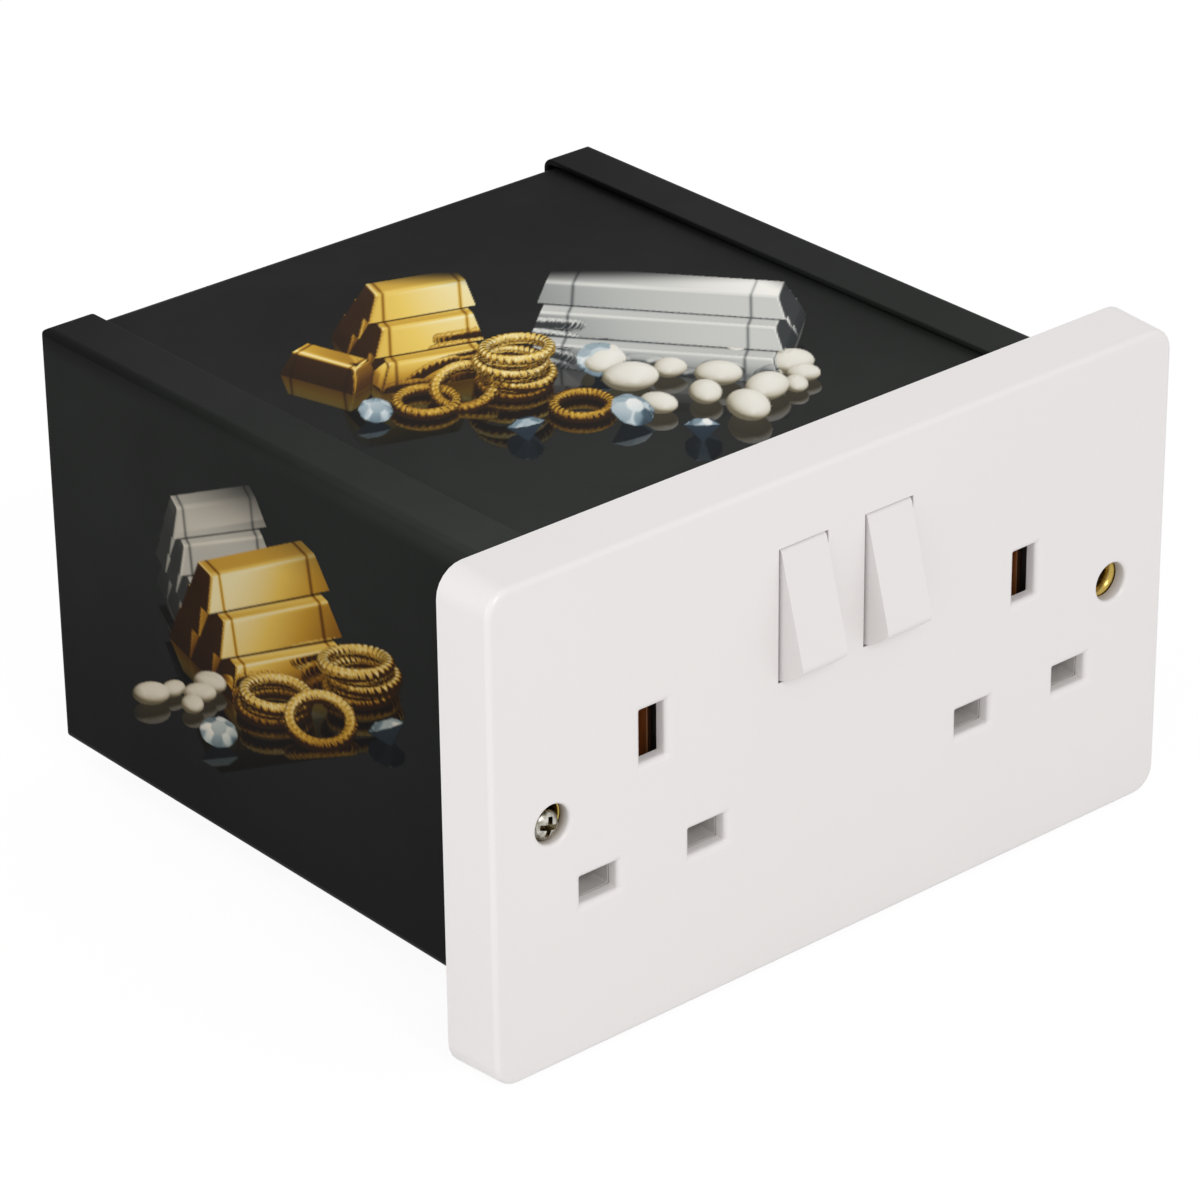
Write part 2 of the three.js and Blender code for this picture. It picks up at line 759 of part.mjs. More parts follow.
function makeLockBarrel() {
  const headBack = barrelFront + barrelHeadLength;
  const square = camSquare / 2;
  const body = turned([
    [0, barrelFront],
    [barrelHeadRadius, barrelFront],
    [barrelHeadRadius, headBack],
    [barrelShankRadius, headBack],
    [barrelShankRadius, bushBack],
    [0, bushBack],
  ]);
  const tang = box([-square, square], [bushBack - overlap, camBack], [-square, square]);
  const thread = rod(square - seat / 2, camBack - overlap, nutBack, 0, 0, smallRound);
  const half = keySocketSize / 2;
  const socket = box([-half, half], [barrelFront - overlap, barrelFront + keySocketDepth], [-half, half]);
  return cut(join(body, tang, thread), socket);
}

function makeLockCam() {
  const half = camWidth / 2;
  const tip = camTipWidth / 2;
  const outline = new THREE.Shape();
  outline.absarc(0, 0, half, -Math.PI / 2, Math.PI / 2, false);
  outline.lineTo(-(camLength - camTipLength), tip);
  outline.quadraticCurveTo(-camLength, tip, -camLength, 0);
  outline.quadraticCurveTo(-camLength, -tip, -(camLength - camTipLength), -tip);
  const square = camSquare / 2 + seat / 2;
  const hole = box([-square, square], [camFront - overlap, camBack + overlap], [-square, square]);
  return cut(alongY(outline, camFront, camBack), hole);
}

function makeCamNut() {
  const radius = camNutFlats / Math.sqrt(3);
  const hole = rod(camSquare / 2 + seat / 2, nutFront - overlap, nutBack + overlap);
  return cut(rod(radius, nutFront, nutBack, 0, 0, 6), hole);
}

// Keeper: a strip bent forward over the cam and riveted to the wall flange

const keeperFront = camFront - stopGap - keeperSheet;
const keeperFootBack = frameFront - seat;
const keeperCentreX = screwCentreX + seat;
const keeperFootEnd = keeperWebZ + keeperFootLength;
const rivetPlaces = [-1, 1].map((side) => keeperWebZ + (keeperFootLength + side * rivetSpacing) / 2);

function makeLockKeeper() {
  const strip = new THREE.Shape();
  strip.moveTo(keeperFront, keeperTongueStart);
  strip.lineTo(keeperFront + keeperSheet, keeperTongueStart);
  strip.lineTo(keeperFront + keeperSheet, keeperWebZ - keeperSheet);
  strip.lineTo(keeperFootBack, keeperWebZ - keeperSheet);
  strip.lineTo(keeperFootBack, keeperFootEnd);
  strip.lineTo(keeperFootBack - keeperSheet, keeperFootEnd);
  strip.lineTo(keeperFootBack - keeperSheet, keeperWebZ);
  strip.lineTo(keeperFront, keeperWebZ);
  const half = keeperWidth / 2;
  const holes = rivetPlaces.map(
    (z) => rod(rivetRadius + seat, keeperFront, plateDepth, keeperCentreX, z, smallRound),
  );
  return cut(alongX(strip, keeperCentreX - half, keeperCentreX + half), ...holes);
}

function makeKeeperRivet(z) {
  const underHead = keeperFootBack - keeperSheet - seat / 2;
  return turned([
    ...domedHead(rivetHeadRadius, underHead - rivetHeadHeight, underHead),
    [rivetRadius, underHead],
    [rivetRadius, plateDepth - seat / 2],
    [0, plateDepth - seat / 2],
  ], keeperCentreX, z, smallRound);
}

// Wall flange: the stamped frame at the mouth of the box

function makeFrontFrame() {
  const halfWidth = hollowHalfWidth - flangeFrameMargin;
  const halfHeight = hollowHalfHeight - flangeFrameMargin;
  const sheet = alongY(
    roundedRect([-halfWidth, -halfHeight], [halfWidth, halfHeight], flangeFrameCorner),
    frameFront,
    plateDepth,
  );
  const mouth = alongY(
    roundedRect([-mouthHalfWidth, mouthBottom], [mouthHalfWidth, mouthTop], trayBendRadius),
    frameFront - overlap,
    plateDepth + overlap,
  );
  const holes = [];
  for (const sideX of [-1, 1]) {
    for (const sideZ of [-1, 1]) {
      holes.push(rod(
        wallScrewRadius, frameFront - overlap, plateDepth + overlap,
        sideX * (hollowHalfWidth - wallScrewInsetX), sideZ * (hollowHalfHeight - wallScrewInsetZ),
        smallRound,
      ));
    }
  }
  for (const z of rivetPlaces) {
    holes.push(rod(
      rivetRadius + seat, frameFront - overlap, plateDepth + overlap, keeperCentreX, z, smallRound,
    ));
  }
  return cut(sheet, mouth, ...holes);
}

// Box: one sheet for top, back and bottom, and a flanged cap over each side

function makeWrapPanel() {
  const outer = alongX(roundedRect(
    [boxFront, -wrapHalfHeight],
    [wrapBack, wrapHalfHeight],
    [0, wrapBendRadius, wrapBendRadius, 0],
  ), -wrapHalfWidth, wrapHalfWidth);
  const innerRadius = wrapBendRadius - boxSheet;
  const inner = alongX(roundedRect(
    [boxFront - overlap, -(wrapHalfHeight - boxSheet)],
    [wrapBack - boxSheet, wrapHalfHeight - boxSheet],
    [0, innerRadius, innerRadius, 0],
  ), -wrapHalfWidth - overlap, wrapHalfWidth + overlap);
  return cut(outer, inner);
}

// A block with its long edges rounded the way a bent sheet's are, for the left side
function sideBlock(outerX, innerX, front, back, halfHeight, radius) {
  const fromSide = alongX(
    roundedRect([front, -halfHeight], [back, halfHeight], [0, radius, radius, 0]),
    outerX,
    innerX,
  );
  const fromFront = alongY(
    roundedRect([outerX, -halfHeight], [innerX, halfHeight], [radius, 0, 0, radius]),
    front,
    back,
  );
  const fromTop = alongZ(
    roundedRect([outerX, front], [innerX, back], [0, 0, 0, radius]),
    -halfHeight,
    halfHeight,
  );
  return fromSide.intersect(fromFront).intersect(fromTop);
}

function makeSidePlate(side) {
  const outer = sideBlock(
    -boxHalfWidth, -boxHalfWidth + flangeWidth, boxFront, boxBack, boxHalfHeight, boxBendRadius,
  );
  const inner = sideBlock(
    -boxHalfWidth + boxSheet,
    -boxHalfWidth + flangeWidth + overlap,
    boxFront - overlap,
    boxBack - boxSheet,
    boxHalfHeight - boxSheet,
    boxBendRadius - boxSheet,
  );
  const left = cut(outer, inner);
  return side < 0 ? left : left.mirror([1, 0, 0]);
}

// Drawer tray: open-topped, with a tab at the rear that stops it at the wall flange

function makeDrawerTray() {
  const front = frameFront;
  const outline = (inset) => roundedRect(
    [-trayHalfWidth + inset, front + inset],
    [trayHalfWidth - inset, trayBack - inset],
    Math.max(trayBendRadius - inset, overlap),
  );
  const outer = alongZ(outline(0), trayBottom, trayWallTop);
  const inner = alongZ(outline(traySheet), trayBottom + traySheet, trayWallTop + overlap);
  const tab = alongY(roundedRect(
    [-trayTabHalfWidth, trayWallTop - overlap],
    [trayTabHalfWidth, trayTabTop],
    [0, 0, trayBendRadius, trayBendRadius],
  ), trayBack - traySheet, trayBack);
  const holes = trayBossPlaces().map(
    ([x, z]) => rod(
      trayScrewRadius + 2 * seat, front - overlap, front + traySheet + overlap, x, z, smallRound,
    ),
  );
  return cut(join(cut(outer, inner), tab), ...holes);
}

function makeTrayScrew([x, z]) {
  const underHead = frameFront + traySheet + seat / 2;
  return turned([
    [0, underHead - trayScrewLength - trayScrewRadius],
    [trayScrewRadius, underHead - trayScrewLength],
    [trayScrewRadius, underHead],
    ...domedHead(trayScrewHead, underHead + trayScrewHeadHeight, underHead).reverse(),
  ], x, z, smallRound);
}

// Plastic strips on the box floor that the tray slides on

function makeGlide(centre) {
  return alongZ(roundedRect(
    [centre - glideWidth / 2, boxFront + glideEndClearance],
    [centre + glideWidth / 2, wrapBack - boxSheet - glideEndClearance],
    glideWidth / 4,
  ), glideBottom, glideBottom + glideThickness, smallArcSteps);
}

// Assembly

const casing = new THREE.Group();
casing.add(
  part("wrap_panel", makeWrapPanel(), "blackSteel"),
  part("side_plate_left", makeSidePlate(-1), "blackSteel"),
  part("side_plate_right", makeSidePlate(1), "blackSteel"),
  part("front_frame", makeFrontFrame(), "blackSteel"),
  part("lock_keeper", makeLockKeeper(), "brightSteel"),
  part("keeper_rivet_lower", makeKeeperRivet(rivetPlaces[0]), "brightSteel"),
  part("keeper_rivet_upper", makeKeeperRivet(rivetPlaces[1]), "brightSteel"),
  part("glide_left", makeGlide(-glideCentreX), "greyPlastic"),
  part("glide_right", makeGlide(glideCentreX), "greyPlastic"),
);

const drawer = new THREE.Group();
drawer.add(
  part("faceplate", makeFaceplate(), "whitePlastic"),
  part("drawer_tray", makeDrawerTray(), "blackSteel"),
  part("rocker_cradle", makeRockerCradle(), "blackPlastic"),
  part("bush_left", makeBush(-screwCentreX, bushBoreLeft, bushRearBoreLeft), "brass"),
  part("bush_right", makeBush(screwCentreX, bushBoreRight, bushRearBoreRight), "brass"),
  part("fixing_screw", makeFixingScrew(), "brightSteel"),
);
trayBossPlaces().forEach((place, index) => {
  drawer.add(part(`tray_screw_${index + 1}`, makeTrayScrew(place), "brightSteel"));
});
for (const [side, name] of [[-1, "left"], [1, "right"]]) {
  drawer.add(
    part(`pin_pockets_${name}`, makePinPockets(side * socketCentreX), "greyPlastic"),
    part(`earth_housing_${name}`, makeEarthHousing(side * socketCentreX), "blackPlastic"),
    part(`earth_contact_${name}`, makeEarthContact(side * socketCentreX), "copper"),
    part(`detent_leaf_${name}`, makeDetentLeaf(side * rockerCentreX), "brightSteel"),
  );
  const rocker = new THREE.Group();
  rocker.add(part(`rocker_${name}`, makeRocker(), "whitePlastic"));
  rocker.position.set(side * rockerCentreX, rockerPivotDepth, rockerCentreZ);
  rocker.rotation.x = -halfThrow;
  drawer.add(rocker);
}

const lock = new THREE.Group();
lock.add(
  part("lock_barrel", makeLockBarrel(), "brass"),
  part("lock_cam", makeLockCam(), "brightSteel"),
  part("cam_nut", makeCamNut(), "brightSteel"),
);
lock.position.set(screwCentreX, 0, 0);
drawer.add(lock);

const safe = new THREE.Group();
safe.name = "diversion_safe";
safe.add(casing, drawer);
safe.updateMatrixWorld(true);
const extent = new THREE.Box3().setFromObject(safe, true);
safe.position.set(0, -(extent.min.y + extent.max.y) / 2, -extent.min.z);

export default safe;
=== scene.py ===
# %% [markdown]
# This is a wall safe that looks like a twin socket. A steel box goes into a hole in the wall. All that
# shows afterwards is a white socket front, which is the face of a locked drawer. The pieces come from the
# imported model, at their real size and in their places. This file gives them their finishes, adds what is
# too fine for the model, and lights the object for a product picture.

# %% Load the pieces
import json
import math

import bmesh
import bpy
import numpy as np
from mathutils import Matrix, Vector


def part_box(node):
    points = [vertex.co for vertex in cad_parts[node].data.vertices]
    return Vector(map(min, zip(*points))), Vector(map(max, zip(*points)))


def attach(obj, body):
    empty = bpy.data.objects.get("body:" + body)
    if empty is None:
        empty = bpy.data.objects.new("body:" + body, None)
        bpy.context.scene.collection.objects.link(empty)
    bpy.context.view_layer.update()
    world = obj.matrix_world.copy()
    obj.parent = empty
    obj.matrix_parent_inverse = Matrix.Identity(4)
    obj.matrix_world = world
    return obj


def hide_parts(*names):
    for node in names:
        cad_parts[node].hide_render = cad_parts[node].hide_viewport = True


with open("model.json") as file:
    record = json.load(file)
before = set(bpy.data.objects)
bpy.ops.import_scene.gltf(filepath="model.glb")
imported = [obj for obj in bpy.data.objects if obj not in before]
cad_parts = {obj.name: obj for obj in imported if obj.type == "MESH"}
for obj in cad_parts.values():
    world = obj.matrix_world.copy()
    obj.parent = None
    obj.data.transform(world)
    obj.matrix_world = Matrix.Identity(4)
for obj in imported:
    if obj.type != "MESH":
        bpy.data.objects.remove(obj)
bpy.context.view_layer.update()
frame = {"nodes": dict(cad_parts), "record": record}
nodes = frame["nodes"]
MM = 0.001

# %% [markdown]
# The picture is taken from the front left and above, with a long lens. A camera can be aimed by an empty
# and a constraint, but a fixed direction with a small roll is simpler here and says where the picture was
# taken from.

# %% Camera
PLATE_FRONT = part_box("faceplate")[0][1]
CAMERA_PLACE = Vector((-0.49563, PLATE_FRONT - 0.52041, 0.43124))
CAMERA_AHEAD = Vector((0.5778, 0.6756, -0.4580)).normalized()
CAMERA_ROLL = math.radians(-0.649)
CAMERA_LENS = 155.04

lens = bpy.data.cameras.new("picture_camera")
lens.lens = CAMERA_LENS
lens.sensor_width = 36
lens.clip_start, lens.clip_end = 0.01, 50
camera = bpy.data.objects.new("picture_camera", lens)
camera.rotation_mode = "QUATERNION"
camera.location = CAMERA_PLACE
aim = CAMERA_AHEAD.to_track_quat("-Z", "Y").to_matrix() @ Matrix.Rotation(CAMERA_ROLL, 3, "Z")
camera.rotation_quaternion = aim.to_quaternion()
bpy.context.scene.collection.objects.link(camera)
bpy.context.scene.camera = camera
print("camera aims", [round(value, 3) for value in CAMERA_AHEAD])

# %% [markdown]
# A material is a small graph of nodes. A few helpers keep the recipes below short: they add a node and
# set its sockets, link two sockets by name, and make the noise, blends and bumps that most finishes use.

# %% Node helpers
def add_node(tree, kind, settings=None, **sockets):
    """A new node. settings are its own properties, and sockets are input values, with _ for a space."""
    made = tree.nodes.new(kind)
    for name, value in (settings or {}).items():
        setattr(made, name, value)
    for name, value in sockets.items():
        made.inputs[name.replace("_", " ")].default_value = value
    return made


def link(tree, source, output, target, socket):
    tree.links.new(source.outputs[output], target.inputs[socket])


def new_material(name):
    material = bpy.data.materials.new(name)
    material.use_nodes = True
    tree = material.node_tree
    tree.nodes.clear()
    shader = add_node(tree, "ShaderNodeBsdfPrincipled")
    out = add_node(tree, "ShaderNodeOutputMaterial")
    link(tree, shader, "BSDF", out, "Surface")
    place = add_node(tree, "ShaderNodeTexCoord")
    return material, tree, shader, place


print("nodes and links ready")

# %% Noise, blends and bumps
def noise(tree, place, scale, detail=3.0, roughness=0.5, stretch=None):
    """Noise in object space. scale is in features per metre, and stretch squeezes it along an axis."""
    made = add_node(tree, "ShaderNodeTexNoise", Scale=scale, Detail=detail, Roughness=roughness)
    if stretch:
        mapping = add_node(tree, "ShaderNodeMapping", Scale=stretch)
        link(tree, place, "Object", mapping, "Vector")
        link(tree, mapping, "Vector", made, "Vector")
    else:
        link(tree, place, "Object", made, "Vector")
    return made


def spread(tree, source, output, low, high, from_low=0.3, from_high=0.7):
    """Stretches a part of a value's range to low and high. Noise gathers round a half, so the part that is
    taken when none is given is its middle."""
    limits = {"From_Min": from_low, "From_Max": from_high, "To_Min": low, "To_Max": high}
    made = add_node(tree, "ShaderNodeMapRange", **limits)
    link(tree, source, output, made, "Value")
    return made


def blend_colours(tree, source, output, first, second):
    made = add_node(tree, "ShaderNodeMix", {"data_type": "RGBA"})
    made.inputs[6].default_value = (*first, 1)
    made.inputs[7].default_value = (*second, 1)
    link(tree, source, output, made, 0)
    return made


def bump(tree, shader, height, output, depth, after=None):
    made = add_node(tree, "ShaderNodeBump", Strength=1.0, Distance=depth)
    link(tree, height, output, made, "Height")
    if after:
        link(tree, after, "Normal", made, "Normal")
    link(tree, made, "Normal", shader, "Normal")
    return made


def place_parts(tree, place):
    """The X, Y and Z of the shaded spot."""
    parts = add_node(tree, "ShaderNodeSeparateXYZ")
    link(tree, place, "Object", parts, "Vector")
    return parts


def times(tree, first, first_output, second, second_output):
    made = add_node(tree, "ShaderNodeMath", {"operation": "MULTIPLY"})
    link(tree, first, first_output, made, 0)
    link(tree, second, second_output, made, 1)
    return made


print("noise, blends and bumps ready")

# %% [markdown]
# The socket front is moulded from a hard off-white plastic with a soft gloss. A single colour with one
# roughness would look like chalk. A faint cloudiness in the gloss and a surface that is not quite flat make
# the highlights waver as they do on a real moulding. The rockers get a copy of the plastic that is painted a
# shade darker, as painted shade, because their tilted faces catch more light. Brass throws light back on the
# walls of the two screw holes, and a painted warm reflection near their rear ends stands for that. It is
# darker than the white, so it also paints shade deep in the holes.

# %% Painted brass reflection and shade in the screw holes
HOLE_AXIS = 60.3 * MM
HOLE_LEVEL = 43.5 * MM
HOLE_WALL = (3.6 * MM, 4.2 * MM)
PAINTED_REFLECTION_DEPTHS = (PLATE_FRONT + 0.5 * MM, PLATE_FRONT + 2.8 * MM)
PAINTED_BRASS_REFLECTION = (0.31, 0.23, 0.125)


def painted_hole_reflection_mask(tree, place):
    """Where the painted brass reflection and shade go: 1 at the rear of the left screw hole's wall, half as
    much in the right hole, and 0 elsewhere.
    """
    parts = place_parts(tree, place)
    either = add_node(tree, "ShaderNodeMath", {"operation": "ABSOLUTE"})
    link(tree, parts, "X", either, 0)
    across = add_node(tree, "ShaderNodeCombineXYZ")
    link(tree, either, 0, across, "X")
    link(tree, parts, "Z", across, "Z")
    off = add_node(tree, "ShaderNodeVectorMath", {"operation": "DISTANCE"})
    off.inputs[1].default_value = (HOLE_AXIS, 0, HOLE_LEVEL)
    link(tree, across, "Vector", off, 0)
    inside = spread(tree, off, "Value", 1, 0, *HOLE_WALL)
    deep = spread(tree, parts, "Y", 0, 1, *PAINTED_REFLECTION_DEPTHS)
    by_side = spread(tree, parts, "X", 1.0, 0.5, -1 * MM, 1 * MM)
    return times(tree, times(tree, inside, "Result", deep, "Result"), 0, by_side, "Result")


print("screw holes", 2 * HOLE_AXIS, "m apart")

# %% White plastic
WHITE_SHADES = ((0.770, 0.741, 0.731), (0.780, 0.751, 0.742))


def white_plastic(name, tone_and_painted_shade=1.0):
    material, tree, shader, place = new_material(name)
    cloud = noise(tree, place, 22, detail=1)
    # a value below 1 paints the plastic darker, as painted shade
    low, high = [tuple(tone_and_painted_shade * part for part in shade) for shade in WHITE_SHADES]
    tint = blend_colours(tree, spread(tree, cloud, "Fac", 0, 1, 0.2, 0.8), "Result", low, high)
    # painted reflection of the brass near the rear of the screw holes, darker than the white so that it
    # paints shade as well
    warm = blend_colours(tree, painted_hole_reflection_mask(tree, place), 0, low, PAINTED_BRASS_REFLECTION)
    link(tree, tint, 2, warm, 6)
    link(tree, warm, 2, shader, "Base Color")
    handled = noise(tree, place, 60, detail=4)
    link(tree, spread(tree, handled, "Fac", 0.27, 0.32, 0.2, 0.8), "Result", shader, "Roughness")
    sink = noise(tree, place, 45, detail=1)
    peel = noise(tree, place, 900, detail=2)
    first = bump(tree, shader, sink, "Fac", 0.02 * MM)
    bump(tree, shader, peel, "Fac", 0.003 * MM, after=first)
    return material


WHITE = white_plastic("white_moulded_plastic")
# the rockers' copy is painted a shade darker, as painted shade, since their tilted faces catch more light
ROCKER_WHITE_PAINTED_DARKER = white_plastic("rocker_plastic_painted_darker", 0.965)
print(WHITE.name, ROCKER_WHITE_PAINTED_DARKER.name)

# %% [markdown]
# The steel box has a satin black coat, and a picture is printed on its top and left side. The print could be
# an image, but this file draws it instead: a fine sheet over each printed face carries the ink's colour and
# strength as attributes of its points. The coat's recipe reads them, so coat and ink share one gloss. The
# other steel has no such attributes. They read as zero there, and only the black shows. Light and shade are
# also painted into the coat's black. It is painted a little paler on top towards the socket front and the
# left, as painted light, paler again on the folded edges, as a painted highlight, and darker low on the
# sides, as painted shade.

# %% Painted light and shade on the coat
BOX_ENDS = (50 * MM, -50 * MM)
BOX_SIDES = (-60 * MM, 60 * MM)
SIDE_LEVELS = (10 * MM, 60 * MM)
TOP_LEVELS = (78 * MM, 80.6 * MM)
FOLD_LEVELS = (81.2 * MM, 81.6 * MM)


def painted_light_on_coat(tree, place):
    """Painted light and shade on the coat: how pale its black is painted at a spot, where 1 is its usual
    black.
    """
    parts = place_parts(tree, place)
    on_top = add_node(tree, "ShaderNodeMix", {"data_type": "FLOAT"})
    link(tree, spread(tree, parts, "Z", 0, 1, *TOP_LEVELS), "Result", on_top, 0)
    # painted shade: darker low on the sides
    link(tree, spread(tree, parts, "Z", 0.45, 1.0, *SIDE_LEVELS), "Result", on_top, 2)
    # painted light: paler on top towards the socket front and the left
    nearer = spread(tree, parts, "Y", 0.4, 1.8, *BOX_ENDS)
    further_right = spread(tree, parts, "X", 1.14, 0.80, *BOX_SIDES)
    link(tree, times(tree, nearer, "Result", further_right, "Result"), 0, on_top, 3)
    # painted highlight: paler on the folded edges
    folded = spread(tree, parts, "Z", 1.0, 1.2, *FOLD_LEVELS)
    return times(tree, on_top, 0, folded, "Result")


print("the folds are paler above", FOLD_LEVELS[0], "m")

# %% Printed black coat
INK, INK_STRENGTH = "ink", "ink_strength"
COAT_DARK, COAT_PALE = (0.0090, 0.0101, 0.0090), (0.0130, 0.0143, 0.0131)


def black_coat():
    material, tree, shader, place = new_material("satin_black_coat")
    cloud = noise(tree, place, 30, detail=4)
    even = blend_colours(tree, spread(tree, cloud, "Fac", 0, 1), "Result", COAT_DARK, COAT_PALE)
    black = add_node(tree, "ShaderNodeVectorMath", {"operation": "SCALE"})
    link(tree, even, 2, black, "Vector")
    # the coat's black is scaled by the painted light and shade
    link(tree, painted_light_on_coat(tree, place), 0, black, "Scale")
    ink = add_node(tree, "ShaderNodeAttribute", {"attribute_name": INK})
    strength = add_node(tree, "ShaderNodeAttribute", {"attribute_name": INK_STRENGTH})
    printed = add_node(tree, "ShaderNodeMix", {"data_type": "RGBA"})
    link(tree, strength, "Fac", printed, 0)
    link(tree, black, "Vector", printed, 6)
    link(tree, ink, "Color", printed, 7)
    link(tree, printed, 2, shader, "Base Color")
    wiped = noise(tree, place, 14, detail=5, roughness=0.6)
    link(tree, spread(tree, wiped, "Fac", 0.40, 0.56), "Result", shader, "Roughness")
    shader.inputs["Specular IOR Level"].default_value = 0.028
    ripple = noise(tree, place, 75, detail=2)
    peel = noise(tree, place, 1500, detail=2)
    first = bump(tree, shader, ripple, "Fac", 0.03 * MM)
    bump(tree, shader, peel, "Fac", 0.006 * MM, after=first)
    return material


BLACK_COAT = black_coat()
print(BLACK_COAT.name)

# %% [markdown]
# The pockets behind the pin holes are a grey moulding, and the carrier of the rockers is black. Both are
# matt, from a mould that was blasted and not polished, so they get a coarser grain than the front.

# %% Inner plastics
def matt_plastic(name, dark, light, roughness):
    material, tree, shader, place = new_material(name)
    speck = noise(tree, place, 260, detail=4)
    tint = blend_colours(tree, spread(tree, speck, "Fac", 0, 1), "Result", dark, light)
    link(tree, tint, 2, shader, "Base Color")
    link(tree, spread(tree, speck, "Fac", roughness - 0.05, roughness + 0.05), "Result", shader, "Roughness")
    grain = noise(tree, place, 3200, detail=2)
    bump(tree, shader, grain, "Fac", 0.02 * MM)
    return material


GREY = matt_plastic("grey_moulded_plastic", (0.50, 0.482, 0.468), (0.56, 0.542, 0.525), 0.5)
BLACK = matt_plastic("black_moulded_plastic", (0.016, 0.015, 0.014), (0.026, 0.024, 0.022), 0.55)
print(GREY.name, BLACK.name)

# %% [markdown]
# Zinc plate is a grey metal with a mottled bloom. Turned brass keeps the rings that the tool left, and it is
# painted darker and browner further back in its hole, as painted shade. The lock barrel deep in the right
# hole is painted almost black, as painted shade. The contact strip is a brown bronze with lines along its
# length. Its flared mouth is painted dark, as painted shade, with a painted highlight line just behind it.
# All three are a metal with its own colour. The difference is in the grain: round, along one way, or none.

# %% Zinc plate
def zinc_plate(name, dark, light, scale=420, nicks=0.012 * MM):
    material, tree, shader, place = new_material(name)
    bloom = noise(tree, place, scale, detail=5)
    tint = blend_colours(tree, spread(tree, bloom, "Fac", 0, 1), "Result", dark, light)
    link(tree, tint, 2, shader, "Base Color")
    shader.inputs["Metallic"].default_value = 1
    link(tree, spread(tree, bloom, "Fac", 0.22, 0.42), "Result", shader, "Roughness")
    bump(tree, shader, noise(tree, place, 1800, detail=3), "Fac", nicks)
    return material


ZINC = zinc_plate("zinc_plated_steel", (0.55, 0.54, 0.51), (0.74, 0.73, 0.70))
WORN_ZINC = zinc_plate("worn_zinc", (0.20, 0.18, 0.13), (0.78, 0.76, 0.70), 1100, 0.05 * MM)
DARKER_IN_CROSS = zinc_plate("darker_in_the_cross", (0.09, 0.07, 0.038), (0.36, 0.30, 0.19), 900, 0.05 * MM)
print(ZINC.name, WORN_ZINC.name, DARKER_IN_CROSS.name)

# %% Turned brass
PAINTED_SHADE_DEPTHS = (PLATE_FRONT + 3.0 * MM, PLATE_FRONT + 4.6 * MM)


def turned_brass(name, dark, light, deep):
    material, tree, shader, place = new_material(name)
    bloom = noise(tree, place, 300, detail=5)
    tint = blend_colours(tree, spread(tree, bloom, "Fac", 0, 1), "Result", dark, light)
    parts = place_parts(tree, place)
    inwards = spread(tree, parts, "Y", 0, 1, *PAINTED_SHADE_DEPTHS)
    # painted shade: the brass turns darker and browner deeper in its hole
    painted_deep_shade = blend_colours(tree, inwards, "Result", dark, deep)
    link(tree, tint, 2, painted_deep_shade, 6)
    link(tree, painted_deep_shade, 2, shader, "Base Color")
    shader.inputs["Metallic"].default_value = 1
    link(tree, spread(tree, bloom, "Fac", 0.16, 0.32), "Result", shader, "Roughness")
    lines = noise(tree, place, 1200, detail=3, stretch=(0.2, 6.0, 0.2))
    bump(tree, shader, lines, "Fac", 0.01 * MM)
    return material


# the last colour is the painted shade deep in the hole
BRASS = turned_brass("turned_brass", (0.40, 0.27, 0.06), (0.58, 0.42, 0.12), (0.32, 0.21, 0.06))
# the lock barrel deep in the right hole is painted almost black, as painted shade
BRASS_PAINTED_DARK_AS_SHADE = turned_brass("brass_painted_dark_as_shade", (0.06, 0.04, 0.01), (0.10, 0.066, 0.018), (0.045, 0.028, 0.007))
print(BRASS.name, BRASS_PAINTED_DARK_AS_SHADE.name)

# %% Bronze strip
STRIP_FRONT = PLATE_FRONT + 4.3 * MM
STRIP_DEPTHS = (STRIP_FRONT, STRIP_FRONT + 3 * MM)
STRIP_COLOURS_AND_PAINTED_LIGHT = (
    # how far along the strip, and its colour there: painted shade at the mouth, a painted highlight line,
    # then the bronze's own brown
    (0.00, (0.030, 0.014, 0.007)),
    (0.11, (0.070, 0.028, 0.011)),
    (0.145, (0.700, 0.400, 0.220)),
    (0.18, (0.380, 0.130, 0.035)),
    (1.00, (0.330, 0.100, 0.022)),
)


def bronze_strip():
    material, tree, shader, place = new_material("bronze_strip")
    inwards = spread(tree, place_parts(tree, place), "Y", 0, 1, *STRIP_DEPTHS)
    # the ramp paints shade at the strip's mouth and a highlight line just behind it
    painted_strip_ramp = add_node(tree, "ShaderNodeValToRGB")
    link(tree, inwards, "Result", painted_strip_ramp, "Fac")
    steps = painted_strip_ramp.color_ramp.elements
    for position, colour in STRIP_COLOURS_AND_PAINTED_LIGHT[1:-1]:
        steps.new(position).color = (*colour, 1)
    steps[0].color = (*STRIP_COLOURS_AND_PAINTED_LIGHT[0][1], 1)
    steps[len(steps) - 1].color = (*STRIP_COLOURS_AND_PAINTED_LIGHT[-1][1], 1)
    lines = noise(tree, place, 900, detail=4, stretch=(3.0, 3.0, 0.08))
    streaked = add_node(tree, "ShaderNodeVectorMath", {"operation": "SCALE"})
    link(tree, painted_strip_ramp, "Color", streaked, "Vector")
    link(tree, spread(tree, lines, "Fac", 0.7, 1.25), "Result", streaked, "Scale")
    link(tree, streaked, "Vector", shader, "Base Color")
    shader.inputs["Metallic"].default_value = 0.55
    link(tree, spread(tree, lines, "Fac", 0.36, 0.5), "Result", shader, "Roughness")
    bump(tree, shader, lines, "Fac", 0.015 * MM)
    return material


BRONZE = bronze_strip()
print(BRONZE.name)

